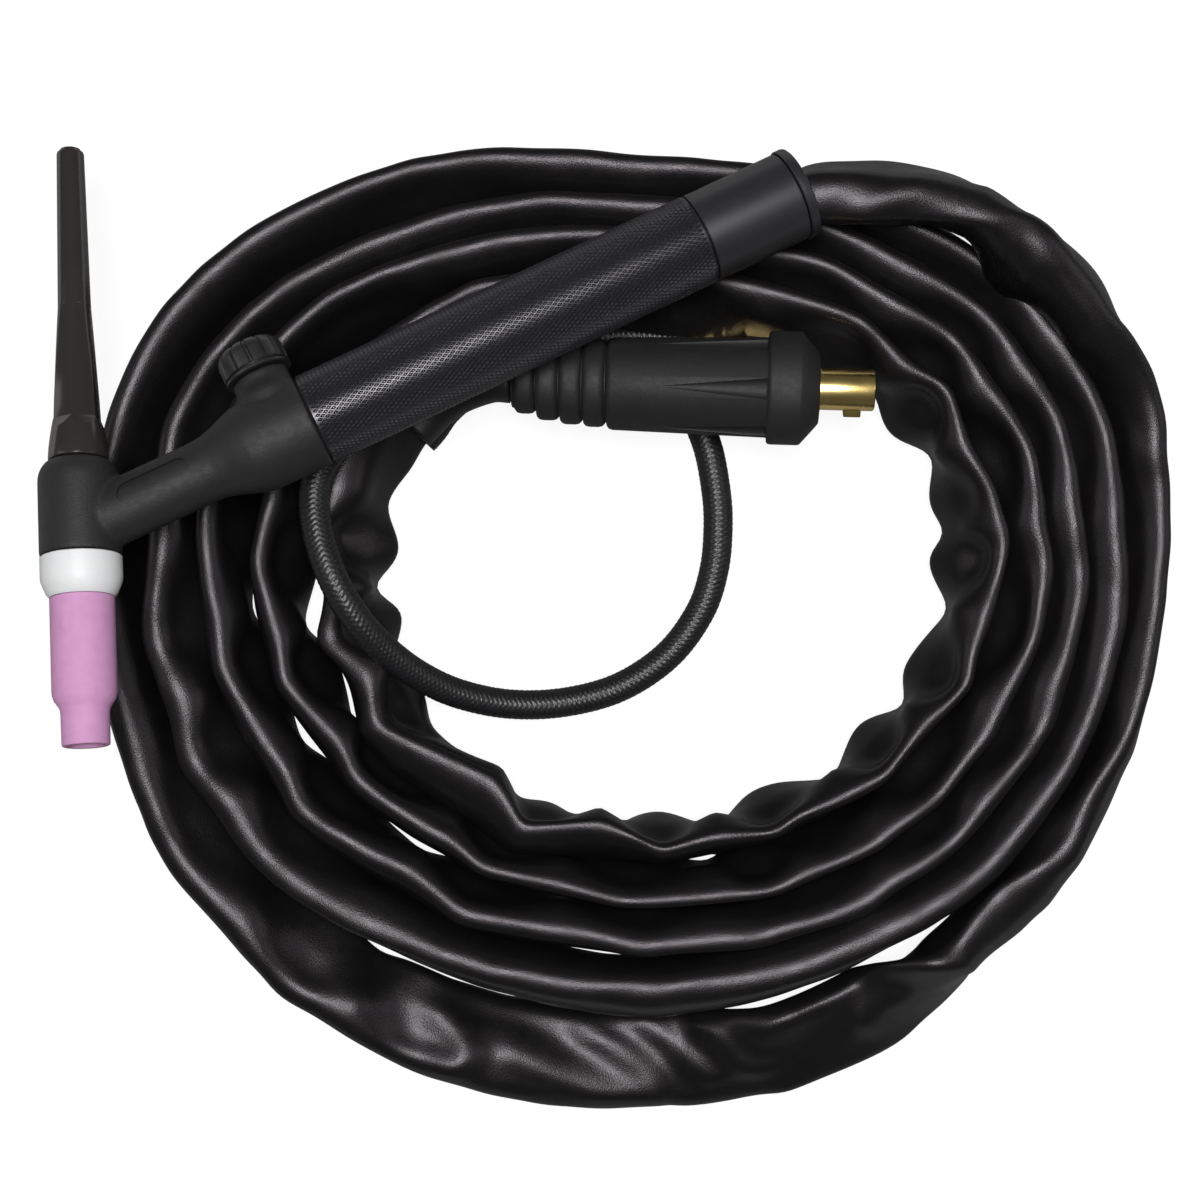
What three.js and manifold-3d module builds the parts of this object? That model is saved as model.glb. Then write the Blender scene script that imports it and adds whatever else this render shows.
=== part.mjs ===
// A gas-valve TIG welding torch lying on its own coiled cable sleeve.
// Millimetres, +Z up. The origin is on the flat underside of the coil's outer turn.
import * as THREE from 'three';
import * as BufferGeometryUtils from 'three/addons/utils/BufferGeometryUtils.js';
import Module from 'manifold-3d';

const wasm = await Module();
wasm.setup();

// ---------------------------------------------------------------- driving sizes

const gap = 0.3; // between pieces that touch
const round = 24; // sides of a large turned piece
const fine = 16; // sides of a small turned piece
const coarse = 12; // sides of a small bore
const edge = 0.5; // broken edges
const over = 1; // how far a cut runs past the face that it opens

// The layout is measured from the middle of the coil, on the surface that it lies on
const headPlace = [-167.6, 20.6, 65.0]; // where the axes of head and handle cross
const handleYaw = 25.92; // degrees
const handleDrop = 5.16; // the rear of the handle hangs lower
const torchRoll = -9.4;
const headAngle = 68.0; // between back cap and handle

// Head, along its axis from where the axes cross, positive towards the back cap
const headRadius = 11.9;
const headFront = -7.9;
const headShoulder = 14.7;
const headTop = 20.8;
const headTopRadius = 8.75;
const headCurve = [[0.4, 2.4], [1.4, 4.4]]; // in from the side and up from the shoulder
const coreRadius = 7.4;
const coreInset = 2.6; // from the top of the head down to the core
const coreThroat = 3.5;
const throatStart = -1.0;
const throatEnd = 6.0;

// Neck and valve housing, along the handle's axis from where the axes cross
const neckRadius = 9.45;
const neckEnd = 41.0;
const neckFlare = [[0.9, 4.5], [3.45, 10.5]]; // out from the side and along from the neck's end
const housingStart = 56.0;
const housingRadius = 14.0;
const housingEnd = 75.0;
const spigotRadius = 12.2;
const spigotLength = 12.0;
const neckTubeRadius = 4.0;
const neckTubeBore = 2.6;
const nameplate = { at: 26.0, length: 22.4, width: 7.2, depth: 0.5, turn: 8 };

// Gas valve, out from the handle's axis
const valveAt = 66.6;
const bossRadius = 8.8;
const bossTop = 19.0;
const bossFlare = 2.6;
const bossFlareFrom = 9.5;
const bossFlareTo = 15.0;
const blockStart = 58.0;
const blockRadius = 10.0;
const blockLength = 26.0;
const blockBossRadius = 6.2;
const blockBossTop = 15.0;
const seatHeight = 5.0;
const seatRadius = 1.2;
const stemRadius = 2.0;
const stemTop = 27.0;
const glandRadius = 4.7;
const glandLength = 4.0;
const glandHead = 2.7;
const glandHeadRadius = 5.6;
const valveSealWire = 0.55;
const outletRadius = 1.6;
const knobRadius = 10.2;
const knobHeight = 9.7;
const knobRim = 1.1;
const knobRibs = 14;
const knobRibDepth = 0.8;
const knobSection = [[-0.36, 0], [0.36, 0], [0.42, 1], [0.58, 1]]; // share of a rib's pitch and of its depth
const knobDome = { inset: 1.4, height: 2.4 };
const knobRimProud = 0.1;

// Handle
const handleRadius = 13.9;
const handleLength = 128.7;
const collarRadius = 13.75;
const collarLength = 30.7;
const collarSpigot = 8.3;
const cableWay = 10.9; // radius left free for cable and hose
const ringRadius = 14.25;
const ringLength = 3.2;
const ringSpigot = 6.3;
const ringSpigotRadius = 12.0;
const ringSeat = 8.3; // depth of the collar's wide end

// Cable and hose inside the handle
const innerCable = { radius: 6.0, offset: -4.3 };
const innerHose = { radius: 4.2, offset: 6.2 };
const adapter = { radius: 5.2, collar: 10.0, barrel: 4.0, length: 24.0 };
const barb = { flange: 2.8, flangeLength: 2.5, radius: 2.3, bore: 1.4, length: 13.0 };

// Back cap
const capSpigotRadius = 5.0;
const capSpigotLength = 12.0;
const capShoulder = [[8.5, 25], [8.0, 28.5], [7.4, 32], [7.15, 34.5]]; // radius and place
const capRim = 0.9;
const capFlats = 6;
const capFlatLead = 8.4; // length over which the flats run in
const capFlatStart = 33.5;
const capFlatAcross = 12.3;
const capFlatEnd = 68.5;
const capFlatFade = 20.0;
const capWaist = 4.85; // radius where the flats end
const capEndAcross = 9.5;
const capTip = 119.0;
const capTipRadius = 4.05;
const capTipStep = [[0, 1.4], [0.8, 0.9], [0.9, 0]]; // in from the side and back from the tip
const capTipWall = 9.0;
const capBore = 1.6;
const capSealWire = 1.05;
const capSealRadius = 6.35;

// Collet body, collet, gasket and cup, from the head's axis point towards the cup's mouth
const bodyTail = 4.6;
const bodyCollar = 6.1;
const bodyCollarEnd = 21.0;
const bodyStep = 1.0;
const bodyBarrel = 4.8;
const bodyBarrelEnd = 36.0;
const bodyNose = 3.0;
const bodyEnd = 42.0;
const gasHole = 1.1;
const gasHoleAt = 29.0;
const colletRadius = 2.0;
const colletBore = 1.2;
const colletTop = 8.8; // towards the back cap
const colletEnd = 40.0;
const colletSlit = 0.5;
const slitStart = 26.0;
const gasketRadius = 11.8;
const gasketStraight = 14.6;
const gasketEnd = 20.1;
const gasketTip = 9.5;
const gasketSeat = 12.4; // where the recess for the cup begins
const gasketCurve = { inset: 0.5, length: 2.2 };
const cupSpigot = 8.0;
const cupSpigotLength = 3.5;
const cupRadius = 9.3;
const cupShoulder = 48.2;
const cupCurve = { inset: 0.7, length: 2.4 };
const cupNeck = 53.7;
const cupNeckRadius = 7.0;
const cupEnd = 63.9;
const cupRimRadius = 6.85;
const cupBore = 6.6;
const cupBoreStart = 24.0;
const cupBoreEnd = 46.2;
const cupMouth = 4.75;

// Cable sleeve: flat, standing on its lower edge and leaning out
const sleeveWidth = 31.0;
const sleeveThick = 7.0;
const edgeShare = 0.3; // half thickness at both edges, as a share of the thickness
const bulgeShare = 0.1; // the thickest line is this share of the width below the middle
// Radius of the sleeve's upper edge every 30 degrees, clockwise from +X, a row for each turn
const ridgeRadii = [
  159, 154.5, 158, 162.5, 165.5, 165.5, 170.7, 177, 152.5, 137, 144.7, 153.1,
  148.4, 140, 126.5, 121.2, 127.5, 146.3, 156.6, 157.5, 138.1, 125.9, 132.8, 140.6,
  135, 125.9, 113.7, 108.4, 114, 126.2, 136.2, 143.1, 127.8, 114.9, 120.3, 128.1,
  124.3, 110.6, 99.3, 93.6, 97.7, 106.8, 118.4, 122.5, 112.1, 104.6, 108, 112.4,
  106.8, 94.9, 82.1, 77.4, 78.9, 83.9, 99, 94.6, 88,
];
const leans = [
  32, 36, 46, 78, 72, 26, 12, 22, 30, 33, 33, 32,
  30, 27, 20, 18, 16, 12, 14, 22, 30, 33, 32, 32,
  30, 27, 20, 18, 14, 12, 14, 20, 27, 30, 28, 31,
  30, 27, 18, 14, 12, 10, 12, 18, 22, 22, 15, 22,
  28, 24, 22, 20, 18, 14, 12, 10, 10,
];
const ridgeBefore = 171; // 30 degrees before the first value
const leanBefore = 32;
const coilStart = -15;
const coilEnd = 4 * 360 + 215.4;
const coilSteps = 24; // to the turn

// Sleeve from the handle to the coil: point, width, thickness and lean
const leadRoute = [
  [47.8, 121.95, 43.5, 16.5, 16.5, 30], [52.5, 124.2, 43, 17.5, 17, 30], [61, 124.4, 42.4, 20, 18, 30],
  [74, 123, 41.4, 23, 17.5, 30], [89, 121.4, 40.6, 26, 15, 30], [102.5, 118.6, 38.6, 28, 13, 28],
  [115.5, 113.8, 35.2, 30, 12, 28], [127.8, 103, 29.8, 31, 10.5, 30], [139.4, 89.5, 24, 31, 9.4, 32],
  [146.4, 74, 18, 31, 7.6, 32], [149.4, 57.2, 14.5, 31, 7, 32], [151.2, 42.7, 14.4, 31, 7, 32],
];
const leadSides = 8;
const leadFullness = 0.54; // half width of its section as a share of its width

// Power cable and gas hose where they lie free
const cableRadius = 7.0;
const cableSteps = 6;
const cableRoute = [
  [-74.2, 53.6, 19], [-71, 57.2, 19], [-66.6, 61.5, 19.9], [-59.5, 66, 21.6], [-49.5, 69.2, 23.5],
  [-42.8, 69, 24],
];
const hoseRadius = 4.7;
const hoseSteps = 44;
const hoseRoute = [
  [-72.5, 51.7, 5], [-69.2, 55.4, 5], [-64.5, 61.8, 5], [-56.5, 68, 5], [-44.3, 71.9, 5], [-28, 73.5, 5],
  [-11.7, 72.9, 5], [2.9, 69, 5], [14.3, 61.2, 5], [19.8, 50.4, 5], [22.7, 35.8, 5], [23.4, 23.7, 5],
  [22.1, 9.8, 5], [17.5, -3.9, 5], [7.1, -17.9, 5], [-8.5, -28.3, 5], [-26.4, -33.2, 5.5],
  [-44.1, -33.7, 8], [-59.9, -30.2, 13.5], [-72.1, -24.1, 20.5], [-82.3, -15.7, 28], [-90.6, -5.6, 34.5],
  [-97.2, 6.2, 36.8], [-101.9, 19.2, 35.5], [-103.6, 31, 34], [-101.8, 40.3, 33.5], [-95.4, 49.6, 33.5],
  [-86.4, 59.6, 33], [-76.6, 67.8, 31.5], [-65.1, 76.6, 28.5], [-53, 82, 21.5], [-40.6, 83.6, 15],
  [-27.9, 83.2, 10.3], [-15, 83.6, 8.4], [-0.4, 83.7, 7.4], [9.3, 83.1, 7.2], [13.9, 82.35, 7.2],
];

// End of the gas hose
const fitting = { place: [14.2, 82.3, 7.2], turn: -9.5 };
const ferrule = { radius: 5.0, bore: 2.5, length: 16.4 };
const tail = {
  start: 3.0, barb: 2.2, neck: 2.7,
  collar: 4.7, collarAt: 19.8, collarLength: 2.2, bore: 1.5,
};
const tailCone = { length: 3.5, end: 2.6 };
const nut = { across: 12.0, start: 16.9, lip: 2.6, end: 30.0, chamfer: 1.0, corner: 0.2 };

// Plug, along its axis from the rear of its grip
const plugBack = [-42.4, 69.0, 24.0];
const plugFront = [53.6, 65.8, 30.5];
const reliefRings = [[6.0, 10.1], [7.4, 12.0], [7.1, 13.1], [6.7, 13.7]]; // length and radius
const reliefGroove = 1.3;
const reliefRound = { start: 1.2, end: 1.6 };
const gripRadius = 14.5;
const gripRound = 1.4;
const gripEnd = 80.0;
const gripEndRadius = 15.6;
const flangeEnd = 90.0;
const flangeRadius = 17.7;
const plugFace = 10.8;
const plugBevel = { width: 2.4, length: 2.2 };
const recesses = 6;
const recess = { start: 46.5, width: 6.6, depth: 1.5 };
const shankRadius = 7.5;
const shankStart = 60.0;
const jacketEnd = 50.0;
const jacketRoomEnd = 58.0;
const crimpRadius = 4.2;
const crimpBore = 3.2;
const socketDepth = 20.0;
const clamp = { at: 70.0, radius: 2.6 };
const pinRadius = 6.5;
const pinLength = 16.9;
const pinBevel = 1.0;
const lug = { start: 7.8, length: 4.8, width: 4.6, height: 1.8, turn: 115 };

// ---------------------------------------------------------------- making shapes

const degrees = THREE.MathUtils.degToRad;

function finish(color, roughness, metalness) {
  return new THREE.MeshStandardMaterial({ color, roughness, metalness });
}

const rubber = finish(0x29292b, 0.65, 0);
const glossPlastic = finish(0x161617, 0.25, 0);
const anodised = finish(0x2c2a2e, 0.4, 0.6);
const brass = finish(0xc9a646, 0.3, 1);
const copper = finish(0xb87350, 0.35, 1);
const whitePlastic = finish(0xebebeb, 0.55, 0);
const pinkCeramic = finish(0xc98fbb, 0.75, 0);
const sleeveLeather = finish(0x1c1a1b, 0.4, 0);
const braid = finish(0x202024, 0.6, 0);
const seal = finish(0x1a1a1a, 0.8, 0);

// One closed surface, its shared points merged and its faces pointing out
function closed(geometry) {
  const bare = geometry.clone();
  bare.deleteAttribute('normal');
  bare.deleteAttribute('uv');
  const welded = BufferGeometryUtils.mergeVertices(bare, 1e-4);
  const points = welded.getAttribute('position');
  const corners = welded.getIndex().array;
  const [a, b, c] = [new THREE.Vector3(), new THREE.Vector3(), new THREE.Vector3()];
  const kept = [];
  let volume = 0;
  for (let i = 0; i < corners.length; i += 3) {
    const triangle = [corners[i], corners[i + 1], corners[i + 2]];
    if (new Set(triangle).size < 3) continue;
    kept.push(...triangle);
    a.fromBufferAttribute(points, triangle[0]);
    b.fromBufferAttribute(points, triangle[1]);
    c.fromBufferAttribute(points, triangle[2]);
    volume += a.dot(b.cross(c));
  }
  welded.setIndex(volume < 0 ? kept.reverse() : kept);
  return welded;
}

function solid(geometry) {
  const shape = closed(geometry);
  return new wasm.Manifold(new wasm.Mesh({
    numProp: 3,
    vertProperties: new Float32Array(shape.getAttribute('position').array),
    triVerts: new Uint32Array(shape.getIndex().array),
  }));
}

function surface(manifold) {
  const { vertProperties, triVerts } = manifold.getMesh();
  const geometry = new THREE.BufferGeometry();
  geometry.setAttribute('position', new THREE.BufferAttribute(vertProperties, 3));
  geometry.setIndex(new THREE.BufferAttribute(triVerts, 1));
  return geometry;
}

function without(first, ...cuts) {
  return cuts.reduce((left, cut) => left.subtract(solid(cut)), first.isBufferGeometry ? solid(first) : first);
}

// A turned shape about +Y; its profile holds pairs of radius and distance along the axis
function turned(profile, sides = round) {
  const points = profile.map(([radius, along]) => new THREE.Vector2(radius, along));
  const last = points[points.length - 1];
  if (points[0].x !== 0 || last.x !== 0) points.push(points[0].clone());
  return new THREE.LatheGeometry(points, sides);
}

function rod(radius, from, to, sides = fine) {
  return turned([[0, from], [radius, from], [radius, to], [0, to]], sides);
}

function tube(radius, bore, from, to, sides = fine) {
  return turned([[bore, from], [radius, from], [radius, to], [bore, to]], sides);
}

function prism(outline, depth) {
  return new THREE.ExtrudeGeometry(outline, { depth, bevelEnabled: false, curveSegments: 8 });
}

// The same shape with its axis turned from +Y to +X
function alongX(geometry) {
  return geometry.rotateZ(-Math.PI / 2);
}

// The same shape turned from the head's frame into the handle's
function alongHead(geometry) {
  return geometry.rotateZ(degrees(headAngle - 90));
}

function ring(radius, wire, along) {
  return new THREE.TorusGeometry(radius, wire, 6, fine).rotateX(Math.PI / 2).translate(0, along, 0);
}

function piece(group, name, shape, material) {
  const geometry = shape.isBufferGeometry ? closed(shape) : surface(shape);
  geometry.computeVertexNormals();
  const made = new THREE.Mesh(geometry, material);
  made.name = name;
  group.add(made);
}

const object = new THREE.Group();
const layout = new THREE.Group(); // its origin is the middle of the coil
object.add(layout);

// ---------------------------------------------------------------- torch body and core

const torch = new THREE.Group(); // +X runs along the handle, the head lies in its XY plane
torch.position.set(...headPlace);
torch.rotation.set(degrees(torchRoll), degrees(handleDrop), degrees(handleYaw), 'ZYX');
layout.add(torch);
const head = new THREE.Group(); // +Y runs along the head, towards the back cap
head.rotation.z = degrees(headAngle - 90);
torch.add(head);
const valve = new THREE.Group(); // +Y runs out of the valve
valve.position.x = valveAt;
torch.add(valve);

const spigotEnd = housingEnd + spigotLength;
const coreTop = headTop - coreInset;
const capBase = headTop + gap;
const capSpigotEnd = capBase - capSpigotLength;
const threadBore = bodyTail + gap;
const stemBore = stemRadius + gap;

function torchBody() {
  const headShape = turned([
    [0, headFront], [headRadius - edge, headFront], [headRadius, headFront + edge],
    [headRadius, headShoulder], ...headCurve.map(([inward, up]) => [headRadius - inward, headShoulder + up]),
    [headTopRadius, headTop], [0, headTop],
  ]);
  const neckShape = turned([
    [0, 0], [neckRadius, 0], [neckRadius, neckEnd],
    ...neckFlare.map(([outward, along]) => [neckRadius + outward, neckEnd + along]),
    [housingRadius, housingStart], [housingRadius, housingEnd],
    [spigotRadius, housingEnd], [spigotRadius, spigotEnd], [0, spigotEnd],
  ]);
  const boss = turned([
    [0, 0], [bossRadius + bossFlare, 0], [bossRadius + bossFlare, bossFlareFrom],
    [bossRadius, bossFlareTo], [bossRadius, bossTop - edge], [bossRadius - edge, bossTop], [0, bossTop],
  ]).translate(valveAt, 0, 0);
  const behindHousing = alongX(tube(2 * housingRadius, spigotRadius, housingEnd, spigotEnd, round));
  const headBore = alongHead(rod(coreRadius + gap, headFront - over, headTop + over, round));
  const neckBore = alongX(rod(neckTubeRadius + gap, 0, blockStart));
  const cavity = alongX(rod(blockRadius + gap, blockStart - gap, spigotEnd + over, round));
  const valveBore = rod(blockBossRadius + gap, 0, bossTop + over).translate(valveAt, 0, 0);
  const end = nameplate.width / 2;
  const middle = nameplate.length / 2 - end;
  const outline = new THREE.Shape();
  outline.absarc(middle, 0, end, -Math.PI / 2, Math.PI / 2);
  outline.absarc(-middle, 0, end, Math.PI / 2, 1.5 * Math.PI);
  const plate = prism(outline, neckRadius).translate(nameplate.at, 0, neckRadius - nameplate.depth)
    .rotateX(-degrees(nameplate.turn));
  const outside = solid(alongHead(headShape)).add(solid(alongX(neckShape)))
    .add(without(boss, behindHousing));
  return without(outside, headBore, neckBore, cavity, valveBore, plate);
}
piece(torch, 'torch_body', torchBody(), rubber);

function headCore() {
  const wall = turned([
    [threadBore, headFront + gap], [coreRadius, headFront + gap], [coreRadius, coreTop],
    [capSpigotRadius + gap, coreTop], [capSpigotRadius + gap, throatEnd], [coreThroat, throatEnd],
    [coreThroat, throatStart], [threadBore, throatStart],
  ]);
  const neckPort = rod(neckTubeBore, 0, 2 * coreRadius, coarse).rotateZ(degrees(-headAngle));
  return without(wall, neckPort);
}
piece(head, 'head_core', headCore(), brass);

function neckTube() {
  const whole = alongX(tube(neckTubeRadius, neckTubeBore, 1, blockStart - gap));
  return without(whole, alongHead(rod(coreRadius + gap, -2 * coreRadius, 2 * coreRadius, round)));
}
piece(torch, 'neck_tube', neckTube(), copper);

// ---------------------------------------------------------------- gas valve

const blockEnd = blockStart + blockLength;
const glandBottom = blockBossTop - glandLength;
const glandShoulder = blockBossTop + gap;
const glandTop = glandShoulder + glandHead;
const sealRoom = stemBore + 2 * valveSealWire + gap;
const knobBottom = bossTop + gap;

function valveBlock() {
  const outside = solid(alongX(rod(blockRadius, blockStart, blockEnd, round)))
    .add(solid(rod(blockBossRadius, 0, blockBossTop).translate(valveAt, 0, 0)));
  return without(
    outside,
    rod(seatRadius, 0, seatHeight + over, coarse).translate(valveAt, 0, 0),
    rod(stemBore, seatHeight, blockBossTop).translate(valveAt, 0, 0),
    rod(glandRadius + gap, glandBottom - gap, blockBossTop + over).translate(valveAt, 0, 0),
    alongX(rod(neckTubeBore, blockStart - over, valveAt, coarse)),
    alongX(rod(outletRadius, valveAt, blockEnd + over, coarse)).translate(0, innerHose.offset, 0),
  );
}
piece(torch, 'valve_block', valveBlock(), brass);

piece(valve, 'valve_gland', turned([
  [sealRoom, glandBottom], [glandRadius, glandBottom], [glandRadius, glandShoulder],
  [glandHeadRadius, glandShoulder], [glandHeadRadius, glandTop], [stemBore, glandTop],
  [stemBore, glandShoulder + edge], [sealRoom, glandShoulder + edge],
], fine), brass);

const valveSealAt = glandBottom + gap + valveSealWire;
piece(valve, 'valve_oring', ring(stemBore + valveSealWire, valveSealWire, valveSealAt), seal);

piece(valve, 'valve_stem', turned([
  [0, seatHeight - seatRadius], [edge, seatHeight - seatRadius], [stemRadius, seatHeight + 2 * seatRadius],
  [stemRadius, stemTop], [0, stemTop],
], fine), brass);

function valveKnob() {
  const outline = new THREE.Shape();
  const pitch = (2 * Math.PI) / knobRibs;
  const corners = Array.from({ length: knobRibs }, (_, rib) => knobSection.map(([share, depth]) => (
    new THREE.Vector2(knobRadius - depth * knobRibDepth, 0)
      .rotateAround(new THREE.Vector2(), (rib + share) * pitch)))).flat();
  outline.setFromPoints(corners);
  const grip = prism(outline, knobHeight).rotateX(-Math.PI / 2).translate(0, knobBottom, 0);
  const knobTop = knobBottom + knobHeight;
  const dome = turned([
    [0, knobBottom], [knobRadius + over, knobBottom], [knobRadius + over, knobTop - knobDome.height],
    [knobRadius - knobDome.inset, knobTop], [0, knobTop],
  ]);
  const rim = rod(knobRadius + knobRimProud, knobBottom, knobBottom + knobRim, round);
  const bore = rod(stemRadius + gap, knobBottom - over, stemTop + gap);
  return without(solid(grip).intersect(solid(dome)).add(solid(rim)), bore);
}
piece(valve, 'valve_knob', valveKnob(), glossPlastic);

// ---------------------------------------------------------------- handle

const handleStart = housingEnd + gap;
const handleEnd = handleStart + handleLength;
const collarStart = handleEnd + gap;
const collarEnd = collarStart + collarLength;
const ringStart = collarEnd + gap;
const ringEnd = ringStart + ringLength;
const handleBore = spigotRadius + gap;
const collarBore = ringSpigotRadius + gap;
const collarShoulder = collarEnd - ringSeat;

piece(torch, 'handle_tube', alongX(turned([
  [handleBore, handleStart], [handleRadius - edge, handleStart], [handleRadius, handleStart + edge],
  [handleRadius, handleEnd - edge], [handleRadius - edge, handleEnd], [handleBore, handleEnd],
])), anodised);

piece(torch, 'handle_collar', alongX(turned([
  [cableWay, collarStart - collarSpigot], [handleBore - gap, collarStart - collarSpigot],
  [handleBore - gap, collarStart], [collarRadius, collarStart], [collarRadius, collarEnd],
  [collarBore, collarEnd], [collarBore, collarShoulder], [cableWay, collarShoulder],
])), anodised);

piece(torch, 'handle_end_ring', alongX(turned([
  [cableWay, ringStart - ringSpigot], [ringSpigotRadius, ringStart - ringSpigot],
  [ringSpigotRadius, ringStart],
  [ringRadius, ringStart], [ringRadius, ringEnd - edge], [ringRadius - edge, ringEnd], [cableWay, ringEnd],
])), anodised);

const adapterStart = blockEnd + gap;
const adapterEnd = adapterStart + adapter.length;
const cableStart = adapterStart + adapter.collar + gap;
const hoseStart = adapterStart + barb.flangeLength + gap;
const coveredEnd = ringEnd - gap;

piece(torch, 'cable_adapter', alongX(turned([
  [0, adapterStart], [adapter.radius, adapterStart], [adapter.radius, adapterStart + adapter.collar],
  [adapter.barrel, adapterStart + adapter.collar], [adapter.barrel, adapterEnd], [0, adapterEnd],
], fine)).translate(0, innerCable.offset, 0), brass);

piece(torch, 'handle_cable', alongX(turned([
  [0, adapterEnd + gap], [adapter.barrel + gap, adapterEnd + gap], [adapter.barrel + gap, cableStart],
  [innerCable.radius, cableStart], [innerCable.radius, coveredEnd], [0, coveredEnd],
], fine)).translate(0, innerCable.offset, 0), rubber);

piece(torch, 'hose_barb', alongX(turned([
  [barb.bore, adapterStart], [barb.flange, adapterStart], [barb.flange, adapterStart + barb.flangeLength],
  [barb.radius, adapterStart + barb.flangeLength], [barb.radius, adapterStart + barb.length],
  [barb.bore, adapterStart + barb.length],
], fine)).translate(0, innerHose.offset, 0), brass);

piece(torch, 'handle_hose', alongX(tube(innerHose.radius, barb.radius + gap, hoseStart, coveredEnd))
  .translate(0, innerHose.offset, 0), rubber);

// ---------------------------------------------------------------- back cap

function backCap() {
  const roundShape = turned([
    [0, capSpigotEnd], [capSpigotRadius, capSpigotEnd], [capSpigotRadius, capBase],
    [headTopRadius, capBase], [headTopRadius, capBase + capRim], ...capShoulder, [capWaist, capFlatEnd],
    ...capTipStep.map(([inward, back]) => [capTipRadius - inward, capTip - back]), [0, capTip],
  ]);
  const corner = 2 * Math.cos(Math.PI / capFlats);
  const clear = 2 * capWaist; // beyond the cap's side all along
  const flats = turned([
    [0, 0], [clear, 0], [clear, capFlatStart - capFlatLead], [capFlatAcross / corner, capFlatStart],
    [capEndAcross / corner, capFlatEnd], [clear, capFlatEnd + capFlatFade], [clear, capTip + over],
    [0, capTip + over],
  ], capFlats);
  const bore = rod(capBore, capSpigotEnd - over, capTip - capTipWall, coarse);
  return without(solid(roundShape).intersect(solid(flats)), bore);
}
piece(head, 'back_cap', backCap(), glossPlastic);

piece(head, 'back_cap_oring', ring(capSealRadius, capSealWire, capBase - gap - capSealWire), seal);

// ---------------------------------------------------------------- collet body, collet, gasket, cup

const front = new THREE.Group(); // +Y runs out of the cup's mouth
front.rotation.x = Math.PI;
head.add(front);

const bodyStart = -throatStart + gap;
const gasketStart = -headFront + gap;
const cupStart = gasketEnd + gap - cupSpigotLength;
const cupInside = bodyCollar + gap;

function colletBody() {
  const outside = turned([
    [colletRadius + gap, bodyStart], [bodyTail, bodyStart], [bodyTail, gasketStart],
    [bodyCollar, gasketStart], [bodyCollar, bodyCollarEnd], [bodyBarrel, bodyCollarEnd + bodyStep],
    [bodyBarrel, bodyBarrelEnd], [bodyNose, bodyEnd], [colletRadius + gap, bodyEnd],
  ]);
  const holes = [0, Math.PI / 2].map((turn) => rod(gasHole, -2 * bodyBarrel, 2 * bodyBarrel, coarse)
    .rotateZ(Math.PI / 2).rotateY(turn).translate(0, gasHoleAt, 0));
  return without(outside, ...holes);
}
piece(front, 'collet_body', colletBody(), brass);

function collet() {
  const slits = [0, Math.PI / 2].map((turn) => (
    new THREE.BoxGeometry(4 * colletRadius, colletEnd, colletSlit)
      .translate(0, slitStart + colletEnd / 2, 0).rotateY(turn)));
  return without(tube(colletRadius, colletBore, -colletTop, colletEnd), ...slits);
}
piece(front, 'collet', collet(), copper);

piece(front, 'cup_gasket', turned([
  [cupInside, gasketStart], [gasketRadius - edge, gasketStart], [gasketRadius, gasketStart + edge],
  [gasketRadius, gasketStraight], [gasketRadius - gasketCurve.inset, gasketStraight + gasketCurve.length],
  [gasketTip, gasketEnd],
  [cupSpigot + gap, gasketEnd], [cupSpigot + gap, gasketSeat], [cupInside, gasketSeat],
]), whitePlastic);

piece(front, 'ceramic_cup', turned([
  [cupInside, cupStart], [cupSpigot, cupStart], [cupSpigot, gasketEnd + gap], [cupRadius, gasketEnd + gap],
  [cupRadius, cupShoulder], [cupRadius - cupCurve.inset, cupShoulder + cupCurve.length],
  [cupNeckRadius, cupNeck], [cupRimRadius, cupEnd - edge], [cupRimRadius - edge, cupEnd],
  [cupMouth, cupEnd], [cupMouth, cupNeck], [cupBore, cupBoreEnd], [cupBore, cupBoreStart],
  [cupInside, cupBoreStart],
]), pinkCeramic);

// ---------------------------------------------------------------- cable sleeve

// A closed body through rings of points
function sweep(rings) {
  const sides = rings[0].length;
  const corners = [];
  for (let i = 0; i + 1 < rings.length; i++) {
    for (let j = 0; j < sides; j++) {
      const [a, b] = [i * sides + j, i * sides + ((j + 1) % sides)];
      corners.push(a, b, a + sides, b, b + sides, a + sides);
    }
  }
  const last = (rings.length - 1) * sides;
  for (let j = 1; j + 1 < sides; j++) {
    corners.push(0, j + 1, j);
    corners.push(last, last + j, last + j + 1);
  }
  const geometry = new THREE.BufferGeometry().setFromPoints(rings.flat());
  geometry.setIndex(corners);
  return geometry;
}

// A smooth value between a table's entries, which lie 30 degrees apart
function between(table, before, angle) {
  const at = angle / 30;
  const index = Math.floor(at);
  const value = (i) => (i < 0 ? before : table[Math.min(i, table.length - 1)]);
  const [p, q, r, s] = [value(index - 1), value(index), value(index + 1), value(index + 2)];
  const t = at - index;
  return q + 0.5 * t * (r - p + t * (2 * p - 5 * q + 4 * r - s + t * (3 * (q - r) + s - p)));
}

function ridgePoint(angle) {
  const radius = between(ridgeRadii, ridgeBefore, angle);
  return new THREE.Vector3(radius * Math.cos(degrees(angle)), -radius * Math.sin(degrees(angle)), 0);
}

// The sleeve's section below its upper edge, as outward and upward distances
function sleeveSection(lean) {
  const [out, up] = [Math.sin(degrees(lean)), Math.cos(degrees(lean))];
  const place = (down, side) => [side * up - down * out, sleeveWidth * up - down * up - side * out];
  const [thin, thick] = [edgeShare * sleeveThick, sleeveThick / 2];
  const bulge = (0.5 + bulgeShare) * sleeveWidth;
  const lower = [place(sleeveWidth, -thin), place(sleeveWidth, thin)].map(([side]) => [side, 0]);
  return [...lower, place(bulge, thick), place(0, thin), place(0, -thin), place(bulge, -thick)]
    .map(([side, height]) => [side, Math.max(0, height)]);
}

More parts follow.
